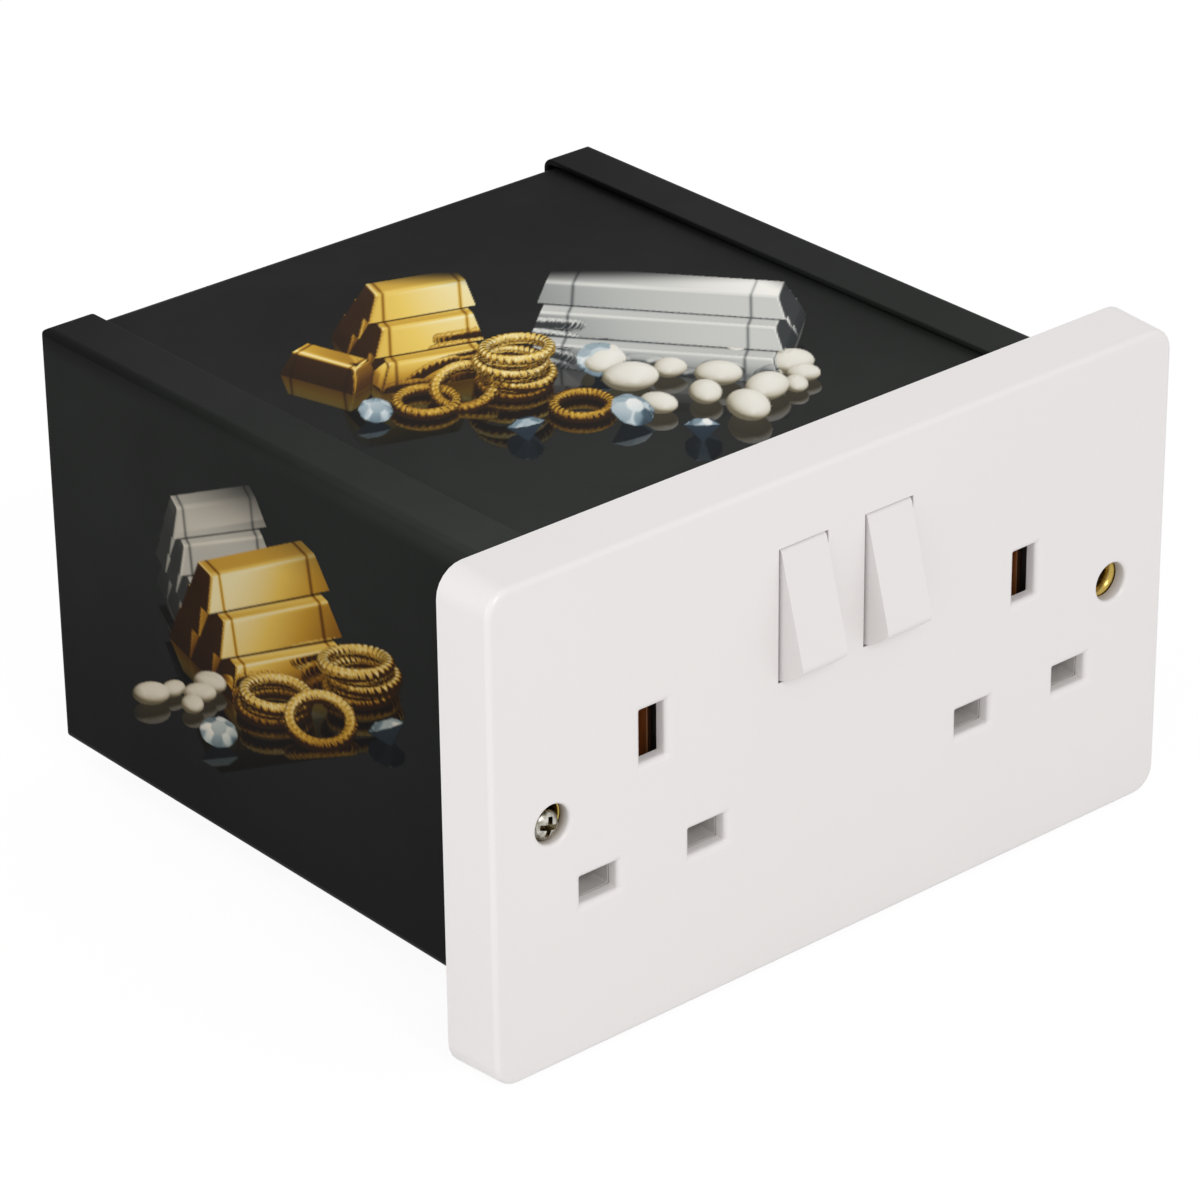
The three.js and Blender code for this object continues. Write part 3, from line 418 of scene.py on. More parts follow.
# %% [markdown]
# The model's own pieces arrive as flat triangles, which would show as facets on every curve. Modelling
# them again would be one way round that. It is enough to join each piece's triangles, shade across the
# shallow edges, and weight the shading by face size, so that flats stay flat and only the curves turn
# soft. Live modifiers do that and leave the piece's own mesh alone. The side plates also get slightly
# rounded edges, as folded sheet has.

# %% Smooth shading by angle
SMOOTH_BELOW = math.radians(36)


def smooth_by_angle(limit):
    """A node group that shades a mesh smooth and keeps the edges sharper than limit."""
    group = bpy.data.node_groups.new("smooth_below_angle", "GeometryNodeTree")
    group.interface.new_socket("Geometry", in_out="INPUT", socket_type="NodeSocketGeometry")
    group.interface.new_socket("Geometry", in_out="OUTPUT", socket_type="NodeSocketGeometry")
    inside, outside = add_node(group, "NodeGroupInput"), add_node(group, "NodeGroupOutput")
    angle = add_node(group, "GeometryNodeInputMeshEdgeAngle")
    shallow = add_node(group, "FunctionNodeCompare", {"operation": "LESS_THAN"}, B=limit)
    link(group, angle, "Unsigned Angle", shallow, "A")
    faces = add_node(group, "GeometryNodeSetShadeSmooth", {"domain": "FACE"}, Shade_Smooth=True)
    edges = add_node(group, "GeometryNodeSetShadeSmooth", {"domain": "EDGE"})
    link(group, inside, 0, faces, "Geometry")
    link(group, faces, "Geometry", edges, "Geometry")
    link(group, shallow, "Result", edges, "Shade Smooth")
    link(group, edges, "Geometry", outside, 0)
    return group


SMOOTH = smooth_by_angle(SMOOTH_BELOW)
print(SMOOTH.name, len(SMOOTH.nodes), "nodes")

# %% Modifiers of a piece
WELD_REACH = 0.0005 * MM
FLAT_BELOW = math.radians(0.5)
ROUND_ABOVE = math.radians(40)
ROUND_SEGMENTS = 2


def soften(piece, rounding=0.0):
    """Joins a piece's triangles, rounds its sharp edges if asked, and shades it smooth."""
    weld = piece.modifiers.new("join", "WELD")
    weld.merge_threshold = WELD_REACH
    if rounding:
        flats = piece.modifiers.new("flats", "DECIMATE")
        flats.decimate_type = "DISSOLVE"
        flats.angle_limit = FLAT_BELOW
        edge = piece.modifiers.new("edges", "BEVEL")
        edge.width = rounding
        edge.segments = ROUND_SEGMENTS
        edge.limit_method = "ANGLE"
        edge.angle_limit = ROUND_ABOVE
        edge.use_clamp_overlap = True
    smooth = piece.modifiers.new("smooth", "NODES")
    smooth.node_group = SMOOTH
    weighted = piece.modifiers.new("flat_first", "WEIGHTED_NORMAL")
    weighted.keep_sharp = True


print("edges sharper than", round(math.degrees(ROUND_ABOVE)), "degrees can be rounded")

# %% Finishes
FINISHES = {
    # slot or node: (material, rounding of its edges)
    "white_plastic": (WHITE, 0.0),
    "grey_plastic": (GREY, 0.0),
    "black_plastic": (BLACK, 0.0),
    "black_steel": (BLACK_COAT, 0.0),
    "bright_steel": (ZINC, 0.0),
    "brass": (BRASS, 0.0),
    "copper": (BRONZE, 0.0),
    "side_plate_left": (BLACK_COAT, 0.3 * MM),
    "side_plate_right": (BLACK_COAT, 0.3 * MM),
    "rocker_left": (ROCKER_WHITE_PAINTED_DARKER, 0.0),
    "rocker_right": (ROCKER_WHITE_PAINTED_DARKER, 0.0),
    "lock_barrel": (BRASS_PAINTED_DARK_AS_SHADE, 0.0),
}

slot_of = {part["node"]: part["material_slot"] for part in frame["record"]["subparts"]}
for name, piece in sorted(nodes.items()):
    material, rounding = FINISHES.get(name) or FINISHES[slot_of[name]]
    piece.data.materials.clear()
    piece.data.materials.append(material)
    soften(piece, rounding)
print("finished", len(nodes), "pieces")

# %% [markdown]
# Three of the model's shapes are a little too plain for a close look, and finer pieces stand in for them.
# The first is the socket front, a moulding whose pin apertures have tight corners and a soft lead-in. The
# apertures could be cut anew, but a boolean leaves thin faces beside the old ones. So the front's own
# mesh is copied, and the points of its rounded corners are drawn outwards.

# %% Apertures
APERTURE_ROUND = 0.4 * MM
APERTURE_FILLET = 1.0 * MM
SHARPER_ROUND = 0.15 * MM
ROUND_GROWTH = 0.55
LEAD_IN = 1.3
FRONT_WALL = 2.4 * MM
HAIR = 0.002 * MM
IN_PLANE = math.radians(0.1)
EARTH_HALF, LINE_HALF = (2.55 * MM, 4.6 * MM), (3.75 * MM, 2.4 * MM)
SOCKET_X = 40 * MM
EARTH_RISE, LINE_DROP, LINE_ASIDE = 8.4 * MM, 13.83 * MM, 11.12 * MM
APERTURES = []
for socket_x in (-SOCKET_X, SOCKET_X):
    APERTURES.append(((socket_x, HOLE_LEVEL + EARTH_RISE), EARTH_HALF))
    for way in (-1, 1):
        APERTURES.append(((socket_x + way * LINE_ASIDE, HOLE_LEVEL - LINE_DROP), LINE_HALF))


def drawn_out(spot, depth, centre, half):
    """Where a point of an aperture's rounded corner goes, or None for any other point."""
    away = [spot[k] - centre[k] for k in (0, 1)]
    a, b = [abs(away[k]) - half[k] + APERTURE_ROUND for k in (0, 1)]
    far = math.hypot(a, b)
    reach = APERTURE_ROUND + (APERTURE_FILLET if depth < APERTURE_FILLET + HAIR else 0)
    if min(a, b) < -HAIR or not APERTURE_ROUND - HAIR < far < reach + HAIR:
        return None
    wider = LEAD_IN * (far - APERTURE_ROUND)
    corner = SHARPER_ROUND + ROUND_GROWTH * wider
    out = [half[k] + wider - corner * (1 - part / far) for k, part in enumerate((a, b))]
    return [centre[k] + math.copysign(out[k], away[k]) for k in (0, 1)]


print(len(APERTURES), "pin apertures")

# %% Socket front
def to_mesh(made, name):
    mesh = bpy.data.meshes.new(name)
    made.to_mesh(mesh)
    made.free()
    return mesh


def new_piece(name, mesh, body, material):
    piece = bpy.data.objects.new(name, mesh)
    bpy.context.scene.collection.objects.link(piece)
    mesh.materials.clear()
    mesh.materials.append(material)
    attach(piece, body)
    return piece


front = bmesh.new()
front.from_mesh(nodes["faceplate"].data)
bmesh.ops.remove_doubles(front, verts=front.verts, dist=HAIR / 4)
bmesh.ops.dissolve_limit(front, angle_limit=IN_PLANE, verts=front.verts, edges=front.edges)
moved = 0
for vert in front.verts:
    depth = vert.co.y - PLATE_FRONT
    if depth < FRONT_WALL + HAIR:
        found = [drawn_out((vert.co.x, vert.co.z), depth, *aperture) for aperture in APERTURES]
        for place in filter(None, found):
            vert.co.x, vert.co.z = place
            moved += 1
bmesh.ops.triangulate(front, faces=front.faces)
front_mesh = to_mesh(front, "socket_front")
socket_front = new_piece("socket_front", front_mesh, "drawer", WHITE)
soften(socket_front)
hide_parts("faceplate")
print("socket_front", len(front_mesh.polygons), "faces,", moved, "points moved")

# %% [markdown]
# The two brass bushes are turned on a lathe, and the mouth of each bore opens like a funnel. A cylinder
# with a bevelled edge would come close. A profile that is spun about the bush's axis gives the funnel,
# the shoulder inside and both ends at once, as the lathe does.

# %% Turned pieces
TURN_STEPS = 64
QUARTER = [k / 10 * math.pi / 2 for k in range(11)]


def turned(profile, axis_x, level):
    """A profile of radius and Y turned a full circle about an axis along Y."""
    made = bmesh.new()
    points = [made.verts.new((axis_x + radius, y, level)) for radius, y in profile]
    edges = [made.edges.new(pair) for pair in zip(points, points[1:] + points[:1])]
    bmesh.ops.spin(made, geom=points + edges, cent=(axis_x, 0, level), axis=(0, 1, 0), angle=math.tau,
                   steps=TURN_STEPS, use_merge=True)
    bmesh.ops.remove_doubles(made, verts=made.verts, dist=HAIR / 4)
    bmesh.ops.recalc_face_normals(made, faces=made.faces)
    return made


BUSH_FRONT = PLATE_FRONT + 2.6 * MM
BUSH_BACK = BUSH_FRONT + 4.4 * MM
BUSH_RADIUS = 4 * MM
BUSH_CHAMFER = 0.2 * MM
SHOULDER = BUSH_FRONT + 3 * MM
MOUTH_RADIUS = 3.6 * MM
MOUTH_DEPTH = 1.8 * MM
BUSHES = (
    # side, way from the middle, bore and rear bore
    ("left", -1, 2.7 * MM, 2.6 * MM),
    ("right", 1, 2.2 * MM, 1.9 * MM),
)
for word, way, bore, rear_bore in BUSHES:
    narrowing = MOUTH_RADIUS - bore
    profile = [(MOUTH_RADIUS - narrowing * math.sin(a), BUSH_FRONT + MOUTH_DEPTH * (1 - math.cos(a)))
               for a in QUARTER]
    profile += [(bore, SHOULDER), (rear_bore, SHOULDER), (rear_bore, BUSH_BACK), (BUSH_RADIUS, BUSH_BACK)]
    profile += [(BUSH_RADIUS, BUSH_FRONT + BUSH_CHAMFER), (BUSH_RADIUS - BUSH_CHAMFER, BUSH_FRONT)]
    bush_mesh = to_mesh(turned(profile, way * HOLE_AXIS, HOLE_LEVEL), f"mouthed_bush_{word}")
    bush = new_piece(f"mouthed_bush_{word}", bush_mesh, "drawer", BRASS)
    soften(bush)
    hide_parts(f"bush_{word}")
    print(bush.name, len(bush_mesh.polygons), "faces")

# %% [markdown]
# The small screw in the left hole has a rounded head, and a punch has pressed a cross into it. The cross
# could be a dark pattern, but its walls catch the light. So the head is turned like the bushes, two tapered
# bars are cut out of it where the punch went in, and the faces down in the cross get a darker finish.

# %% Fixing screw
SCREW_AXIS = (-HOLE_AXIS - 0.15 * MM, HOLE_LEVEL - 0.68 * MM)
HEAD_RADIUS = 2.45 * MM
HEAD_TOP = PLATE_FRONT + 0.7 * MM
HEAD_RIM = HEAD_TOP + 1.2 * MM
HEAD_BACK = HEAD_TOP + 1.7 * MM
HEAD_CHAMFER = 0.1 * MM
SHANK_RADIUS, SHANK_LENGTH, POINT_LENGTH = 1.6 * MM, 4 * MM, 1.5 * MM
CROSS_TURN = 15
CROSS_WIDTH = 0.95 * MM
CROSS_REACH = 3.9 * MM
CROSS_DEPTH = 1.35 * MM
CROSS_START = -0.1 * MM
OUTER_SHARE, INNER_REACH_SHARE, INNER_WIDTH_SHARE = 1.04, 0.45, 0.50
CROSS_DARK_REACH = 0.9 * HEAD_RADIUS
CROSS_DARK_DEPTH = 0.08 * MM


def tapered_bar(turn):
    """A bar that narrows inwards, laid across the screw's head."""
    made = bmesh.new()
    bmesh.ops.create_cube(made, size=1)
    for vert in made.verts:
        inner = vert.co.y > 0
        vert.co.x *= CROSS_REACH * (INNER_REACH_SHARE if inner else OUTER_SHARE)
        vert.co.z *= CROSS_WIDTH * (INNER_WIDTH_SHARE if inner else OUTER_SHARE)
        vert.co.y = CROSS_DEPTH if inner else CROSS_START
    about = Matrix.Rotation(math.radians(turn), 3, "Y")
    bmesh.ops.rotate(made, verts=made.verts, cent=(0, 0, 0), matrix=about)
    bmesh.ops.translate(made, verts=made.verts, vec=(SCREW_AXIS[0], HEAD_TOP, SCREW_AXIS[1]))
    return made


def carve(piece, cutters):
    """Cuts the cutters out of the piece, and leaves it with a plain mesh."""
    for cutter in cutters:
        step = piece.modifiers.new(cutter.name, "BOOLEAN")
        step.object = cutter
        step.solver = "EXACT"
    state = bpy.context.evaluated_depsgraph_get()
    cut_mesh = bpy.data.meshes.new_from_object(piece.evaluated_get(state))
    piece.modifiers.clear()
    piece.data = cut_mesh
    for cutter in cutters:
        bpy.data.objects.remove(cutter)


dome = [(HEAD_RADIUS * math.sin(a), HEAD_TOP + (HEAD_RIM - HEAD_TOP) * (1 - math.cos(a))) for a in QUARTER]
shank = [(HEAD_RADIUS, HEAD_BACK - HEAD_CHAMFER), (HEAD_RADIUS - HEAD_CHAMFER, HEAD_BACK)]
shank += [(SHANK_RADIUS, HEAD_BACK), (SHANK_RADIUS, HEAD_BACK + SHANK_LENGTH)]
shank += [(0, HEAD_BACK + SHANK_LENGTH + POINT_LENGTH)]
screw_mesh = to_mesh(turned(dome + shank, *SCREW_AXIS), "cross_head_screw")
screw = new_piece("cross_head_screw", screw_mesh, "drawer", WORN_ZINC)
bars = []
for turn in (CROSS_TURN, CROSS_TURN + 90):
    bar_mesh = to_mesh(tapered_bar(turn), f"punch_{turn}")
    bars.append(bpy.data.objects.new(f"punch_{turn}", bar_mesh))
    bpy.context.scene.collection.objects.link(bars[-1])
carve(screw, bars)
# the faces down in the cross get the darker finish
screw.data.materials.append(DARKER_IN_CROSS)
sunk = 0
for face in screw.data.polygons:
    off = math.hypot(face.center.x - SCREW_AXIS[0], face.center.z - SCREW_AXIS[1])
    skin = HEAD_TOP + (HEAD_RIM - HEAD_TOP) * (1 - math.sqrt(max(0, 1 - (off / HEAD_RADIUS) ** 2)))
    if off < CROSS_DARK_REACH and face.center.y > skin + CROSS_DARK_DEPTH:
        face.material_index = 1
        sunk += 1
soften(screw)
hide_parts("fixing_screw")
print("cross_head_screw", len(screw.data.polygons), "faces,", sunk, "in the cross")

# %% [markdown]
# The box carries a printed picture of valuables on black glass. A picture file could be wrapped on the
# box, but this lesson draws its own. Each point of the printed sheet sends a ray into a made-up still
# life and brings back a colour. Three shapes are enough: a body cut by planes makes bars and gems, a
# squashed ball makes pebbles, and a ring makes rings. Picture axes are s to the right, t away from the
# viewer and h up, in millimetres.

# %% Inks
# Each ink is a ramp: a brightness, then the printed colour at that brightness.
GOLD = ((0.00, 0.012, 0.005, 0.001), (0.15, 0.075, 0.027, 0.004), (0.33, 0.290, 0.130, 0.012),
        (0.54, 0.620, 0.360, 0.040), (0.78, 0.900, 0.660, 0.150), (1.10, 1.000, 0.940, 0.620))
SILVER = ((0.00, 0.012, 0.015, 0.018), (0.25, 0.175, 0.190, 0.195), (0.50, 0.520, 0.540, 0.540),
          (0.80, 0.820, 0.830, 0.820), (1.15, 1.000, 0.995, 0.980))
PEBBLE = ((0.00, 0.030, 0.026, 0.018), (0.25, 0.240, 0.210, 0.140), (0.50, 0.580, 0.550, 0.460),
          (0.80, 0.840, 0.825, 0.770), (1.15, 1.000, 0.995, 0.970))
GEM = ((0.00, 0.010, 0.018, 0.030), (0.25, 0.080, 0.130, 0.180), (0.50, 0.280, 0.380, 0.450),
       (0.80, 0.650, 0.740, 0.790), (1.10, 1.000, 1.000, 1.000))


def inked(ramp, level):
    steps = np.array(ramp)
    return np.stack([np.interp(level, steps[:, 0], steps[:, column]) for column in (1, 2, 3)], 1)


print("gold in bright light", inked(GOLD, np.array([0.8]))[0].round(2))

# %% Bodies cut by planes
def spun(axis, degrees):
    """A turn about the picture's s, t or h axis."""
    c, s = math.cos(math.radians(degrees)), math.sin(math.radians(degrees))
    i, j = {"s": (1, 2), "t": (2, 0), "h": (0, 1)}[axis]
    matrix = np.eye(3)
    matrix[i, i], matrix[i, j], matrix[j, i], matrix[j, j] = c, -s, s, c
    return matrix


def along(a, b):
    return np.einsum("ij,ij->i", a, b)


def cut_body(ramp, place, matrix, cuts, reach, softness):
    """A body bounded by planes. Each cut is a direction and its distance from the body's middle."""
    normals = np.array([direction for direction, _ in cuts], float)
    normals = normals / np.linalg.norm(normals, axis=1, keepdims=True) @ matrix.T
    limits = np.array([limit for _, limit in cuts], float)
    return {"meet": meet_cut_body, "ramp": ramp, "place": np.array(place, float), "reach": reach,
            "softness": softness, "normals": normals, "limits": limits, "matrix": matrix}


def meet_cut_body(body, starts, ways):
    facing = ways @ body["normals"].T
    room = body["limits"] - starts @ body["normals"].T
    steps = room / np.where(np.abs(facing) < 1e-9, 1e-9, facing)
    entries = np.where(facing < 0, steps, -np.inf)
    first = entries.max(1)
    last = np.where(facing < 0, np.inf, steps).min(1)
    closeness = np.exp((entries - first[:, None]) / body["softness"])
    return np.where(first < last, first, np.inf), closeness @ body["normals"]


print("a quarter turn about h", spun("h", 90).round(2).tolist())

# %% Bars and gems
BAR_LEAN = 0.3
BAR_SOFTNESS = 0.35
GROOVE_PLACE, GROOVE_WIDTH, GROOVE_DARK = 0.36, 0.28, 0.6
GEM_MIDDLE = 0.72
GEM_REACH = 1.2
GEM_SOFTNESS = 0.05


def bar(ramp, place, size, turn):
    """An ingot: a block whose sides lean in towards the top, with a groove near each end."""
    length, width, height = size
    share = 1 / math.hypot(1, BAR_LEAN)
    cuts = [((0, 0, 1), height), ((0, 0, -1), 0)]
    for side in (-1, 1):
        cuts += [((side, 0, BAR_LEAN), share * length / 2), ((0, side, BAR_LEAN), share * width / 2)]
    reach = math.hypot(length, width) / 2 + height
    body = cut_body(ramp, place, spun("h", turn), cuts, reach, BAR_SOFTNESS)
    return {**body, "grooves": GROOVE_PLACE * length}


def gem(spot, radius, turn, lean):
    """A round brilliant: a flat top, two rings of facets and a point below. spot is where it stands."""
    place = (*spot, GEM_MIDDLE * radius)
    cuts = [((0, 0, 1), 0.34 * radius)]
    for k in range(8):
        c, s = math.cos(math.pi * k / 4), math.sin(math.pi * k / 4)
        cuts += [((0.62 * c, 0.62 * s, 0.78), 0.60 * radius), ((0.72 * c, 0.72 * s, -0.69), 0.70 * radius)]
        c, s = math.cos(math.pi * (k + 0.5) / 4), math.sin(math.pi * (k + 0.5) / 4)
        cuts += [((0.5 * c, 0.5 * s, 0.87), 0.5 * radius), ((c, s, 0), radius)]
    matrix = spun("h", turn) @ spun("s", lean)
    return cut_body(GEM, place, matrix, cuts, GEM_REACH * radius, GEM_SOFTNESS)


print("a gem has", len(gem((0, 0), 3, 0, 0)["limits"]), "facets")

# %% Pebbles and rings
def pebble(place, radii, turn):
    return {"meet": meet_pebble, "ramp": PEBBLE, "place": np.array(place, float), "reach": max(radii),
            "radii": np.array(radii, float), "matrix": spun("h", turn)}


def meet_pebble(body, starts, ways):
    start = starts @ body["matrix"] / body["radii"]
    step = ways @ body["matrix"] / body["radii"]
    a, b, c = along(step, step), along(start, step), along(start, start) - 1
    root = b * b - a * c
    first = (-b - np.sqrt(np.maximum(root, 0))) / a
    spots = start + first[:, None] * step
    return np.where(root > 0, first, np.inf), spots / body["radii"] @ body["matrix"].T


TWISTS, TWIST_TILT = 30, 0.5
RING_STEPS = 36
RING_TOUCH = 0.05


def ring(place, radius, thickness, turn=0.0, lean=0.0):
    return {"meet": meet_ring, "ramp": GOLD, "place": np.array(place, float), "reach": radius + thickness,
            "matrix": spun("h", turn) @ spun("s", lean), "radius": radius, "thickness": thickness}


def meet_ring(body, starts, ways):
    """Steps along each ray by the gap that is left, which never jumps through the ring. The surface is
    tilted in slanting waves, so that the ring looks like twisted wire."""
    start, way = starts @ body["matrix"], ways @ body["matrix"]
    steps = -along(start, way) - body["reach"]
    for _ in range(RING_STEPS):
        at = start + steps[:, None] * way
        flat = np.maximum(np.hypot(at[:, 0], at[:, 1]), 1e-6)
        gap = np.hypot(flat - body["radius"], at[:, 2]) - body["thickness"]
        steps = steps + gap
    out = at[:, :2] / flat[:, None]
    angle = np.arctan2(at[:, 1], at[:, 0])
    wave = TWIST_TILT * np.sin(TWISTS * angle + 2 * np.arctan2(at[:, 2], flat - body["radius"]))
    normals = np.column_stack([at[:, :2] - body["radius"] * out, at[:, 2]]) / body["thickness"]
    normals[:, :2] += wave[:, None] * np.column_stack([-out[:, 1], out[:, 0]])
    return np.where(gap < RING_TOUCH, steps, np.inf), normals @ body["matrix"].T


print("a ring reaches", ring((0, 0, 0), 5, 1)["reach"], "mm from its middle")

# %% [markdown]
# A ray stops at the first body in its way. Every ray could be tried on every body in full, which is slow.
# A ball round each body is tried first, and only the rays that come near it go on.

# %% Rays
OWN_SURFACE = 0.02


def first_met(bodies, starts, ways):
    """How far each ray goes, the surface's direction there, and which body it meets, or -1."""
    best = np.full(len(starts), np.inf)
    normals = np.zeros((len(starts), 3))
    which = np.full(len(starts), -1)
    for number, body in enumerate(bodies):
        offset = starts - body["place"]
        middle = -along(offset, ways)
        missed = along(offset, offset) - middle * middle
        near = np.flatnonzero((missed < body["reach"] ** 2) & (middle > -body["reach"]))
        if len(near):
            steps, found = body["meet"](body, offset[near], ways[near])
            closer = (steps < best[near]) & (steps > OWN_SURFACE)
            rows = near[closer]
            best[rows], normals[rows], which[rows] = steps[closer], found[closer], number
    return best, normals / np.maximum(np.linalg.norm(normals, axis=1, keepdims=True), 1e-9), which


def eased(low, high, value):
    share = np.clip((value - low) / (high - low), 0, 1)
    return share * share * (3 - 2 * share)


print("half-way eased", eased(0, 1, 0.5))

# %% [markdown]
# A metal shows only what it mirrors, so the ink of a bar or ring comes from a made-up room: a window, a
# strip of light, a ceiling and a pale card in front. A list of lamps would do as well, but soft patches
# need no search. Pebbles are dull, and a single lamp lights them.

# %% Brightness
ROOM = 75.0
DIM, WINDOW, STRIP, CEILING, CARD = 0.05, 0.75, 0.50, 0.72, 0.55
LAMP = np.array([0.5, -0.35, 0.79])
NEIGHBOUR_SHINE, SHADOW = 0.75, 0.5
MIRROR_START, SHADOW_START = 0.05, 0.3
LOW_LIGHT, LOW_HEIGHT = 0.45, 5.0
MATT_ROOM, MATT_LAMP, MATT_MIRROR = 0.18, 0.70, 0.15


def studio(spots, ways):
    """The made-up studio's brightness as a spot sees it: a window, a strip, a ceiling and a front card."""
    s, t, h = (ways + spots / ROOM).T
    window = np.exp(-(((s - 0.55) / 0.22) ** 2) - ((h - 0.45) / 0.45) ** 2)
    strip = np.exp(-(((s + 0.65) / 0.12) ** 2)) * eased(-0.1, 0.2, h)
    ceiling = eased(0.05, 0.95, h)
    card = np.exp(-(((s - 0.10) / 0.55) ** 2) - ((h - 0.10) / 0.40) ** 2) * eased(0, -0.5, t)
    return DIM + WINDOW * window + STRIP * strip + CEILING * ceiling + CARD * card


def mirrored(ways, normals):
    return ways - 2 * along(ways, normals)[:, None] * normals


def brightness(bodies, spots, normals, which, ways, bounces):
    """Metal and gems mirror the studio and their neighbours. Pebbles are lit by the lamp."""
    back = mirrored(ways, normals)
    level = studio(spots, back)
    if bounces:
        _, second_normals, second = first_met(bodies, spots + MIRROR_START * normals, back)
        again = second >= 0
        onwards = mirrored(back[again], second_normals[again])
        level[again] = NEIGHBOUR_SHINE * studio(spots[again], onwards)
    _, _, blocker = first_met(bodies, spots + SHADOW_START * normals, np.broadcast_to(LAMP, spots.shape))
    lit = np.where(blocker < 0, 1.0, SHADOW)
    low = LOW_LIGHT + (1 - LOW_LIGHT) * eased(0.0, LOW_HEIGHT, spots[:, 2])
    matt = MATT_ROOM + MATT_LAMP * np.clip(normals @ LAMP, 0, 1) * lit
    matt = matt * (0.6 + 0.4 * low) + MATT_MIRROR * level
    stone = np.array([bodies[number]["ramp"] is PEBBLE for number in which])
    return np.where(stone, matt, level * (0.55 + 0.45 * lit) * low)


print("the room overhead", studio(np.zeros((1, 3)), np.array([[0.0, 0.0, 1.0]])).round(2))

# %% [markdown]
# A spot's brightness picks its colour from the ramp of its ink. A ray that meets nothing turns back up
# from the black glass, so that the bodies stand on their own dim mirror image. A flipped copy of the
# picture would be quicker, but a second ray gets the foot of each body right.

# %% From a ray to ink
def look(bodies, starts, ways, bounces):
    steps, normals, which = first_met(bodies, starts, ways)
    rows = np.flatnonzero(which >= 0)
    colours = np.zeros((len(starts), 3))
    if len(rows):
        spots = starts[rows] + steps[rows, None] * ways[rows]
        level = brightness(bodies, spots, normals[rows], which[rows], ways[rows], bounces)
        for number, body in enumerate(bodies):
            own = which[rows] == number
            if "grooves" in body:
                length = (spots[own] - body["place"]) @ body["matrix"][:, 0]
                off = (np.abs(length) - body["grooves"]) / GROOVE_WIDTH
                level[own] *= 1 - GROOVE_DARK * np.exp(-(off ** 2))
            colours[rows[own]] = inked(body["ramp"], level[own])
    return colours, which >= 0, steps


VIEWER_FAR = 150
GLASS_MIRROR = 0.30
MIRROR_REACH = 9.0


def picture(bodies, points, elevation):
    """Colour and strength of the ink at points of the table, seen from elevation degrees above it."""
    e = math.radians(elevation)
    ways = np.broadcast_to([0.0, math.cos(e), -math.sin(e)], points.shape)
    colours, seen, _ = look(bodies, points - VIEWER_FAR * ways, ways, 1)
    rows = np.flatnonzero(~seen)
    below, hit, far = look(bodies, points[rows] + [0, 0, 1e-3], ways[rows] * [1, 1, -1], 0)
    fade = np.exp(-np.where(hit, far, 0) / MIRROR_REACH)
    colours[rows] = GLASS_MIRROR * fade[:, None] * below
    strength = seen.astype(float)
    strength[rows] = hit
    return colours, strength


print("the black glass mirrors", GLASS_MIRROR, "of what stands on it")

# %% [markdown]
# Bars lie in piles, rings in stacks, and pebbles where they fell. They could be placed by random draws. A
# few waves and a spiral look as loose, and they come out the same each time.

# %% Arrangements
GOLDEN_ANGLE = 2.4


def pile(ramp, place, size, turn, counts):
    """Bars side by side in layers, each layer with its own count."""
    across, rise = 1.04 * size[1], 1.03 * size[2]
    rows = [(k - (count - 1) / 2, level) for level, count in enumerate(counts) for k in range(count)]
    steps = [spun("h", turn) @ [0, row * across, level * rise] for row, level in rows]
    return [bar(ramp, np.array(place) + step, size, turn) for step in steps]


def stack(place, radius, thickness, count):
    """Rings dropped on each other, each a little off the last."""
    made = []
    for k in range(count):
        shift = [0.7 * math.sin(2.2 * k), 0.6 * math.cos(1.7 * k), thickness * (1 + 2.05 * k)]
        made.append(ring(np.array(place) + shift, radius, thickness, 70 * k, 3 + 2 * (k % 2)))
    return made


def scatter(place, spread, count, size):
    """Flat pebbles on a spiral, each of its own size and turn."""
    made = []
    for k in range(count):
        angle, far = GOLDEN_ANGLE * k, spread * math.sqrt(k + 0.3)
        long = size * (1 + 0.18 * math.sin(5.1 * k))
        height = 0.5 * long
        spot = np.array(place) + [1.25 * far * math.cos(angle), far * math.sin(angle), height]
        made.append(pebble(spot, (long, 0.78 * long, height), 47 * k))
    return made


print("a pile in three layers has", len(pile(GOLD, (0, 0, 0), (19, 8, 5), 0, (3, 2, 1))), "bars")

# %% [markdown]
# Both pictures show bars, rings, pebbles and gems on black glass. The one on top is wide and low. The one
# on the left side is narrow and taller. They could share one list, but each is arranged for the face it
# is printed on.

# %% The picture on top
def top_life():
    bodies = pile(SILVER, (20, 17, 0), (42, 9, 4.0), -11, (3, 2, 1))
    bodies += pile(GOLD, (-22, 12, 0), (19, 8, 5.0), 22, (3, 2, 1))
    bodies += [bar(GOLD, (-35, 4, 0), (15, 6.5, 4.2), -34)]
    bodies += stack((-5, -1, 0), 5.4, 1.05, 4)
    bodies += [ring((-19, -8, 1.0), 4.8, 1.0), ring((-13, -5, 2.3), 4.8, 1.0, -15, 24)]
    bodies += [ring((6, -10, 1.0), 4.6, 0.95)]
    bodies += scatter((25, 0, 0), 4.4, 11, 3.9) + scatter((40, 1, 0), 2.6, 3, 2.8)
    bodies += [gem((9, 4), 4.0, 10, 24), gem((-3, -19), 3.0, 30, -22), gem((14, -15), 3.6, 40, 26)]
    bodies += [gem((25, -20), 3.0, 0, -25), gem((-27, -13), 2.8, 25, 24)]
    return bodies


print("top picture:", len(top_life()), "bodies")

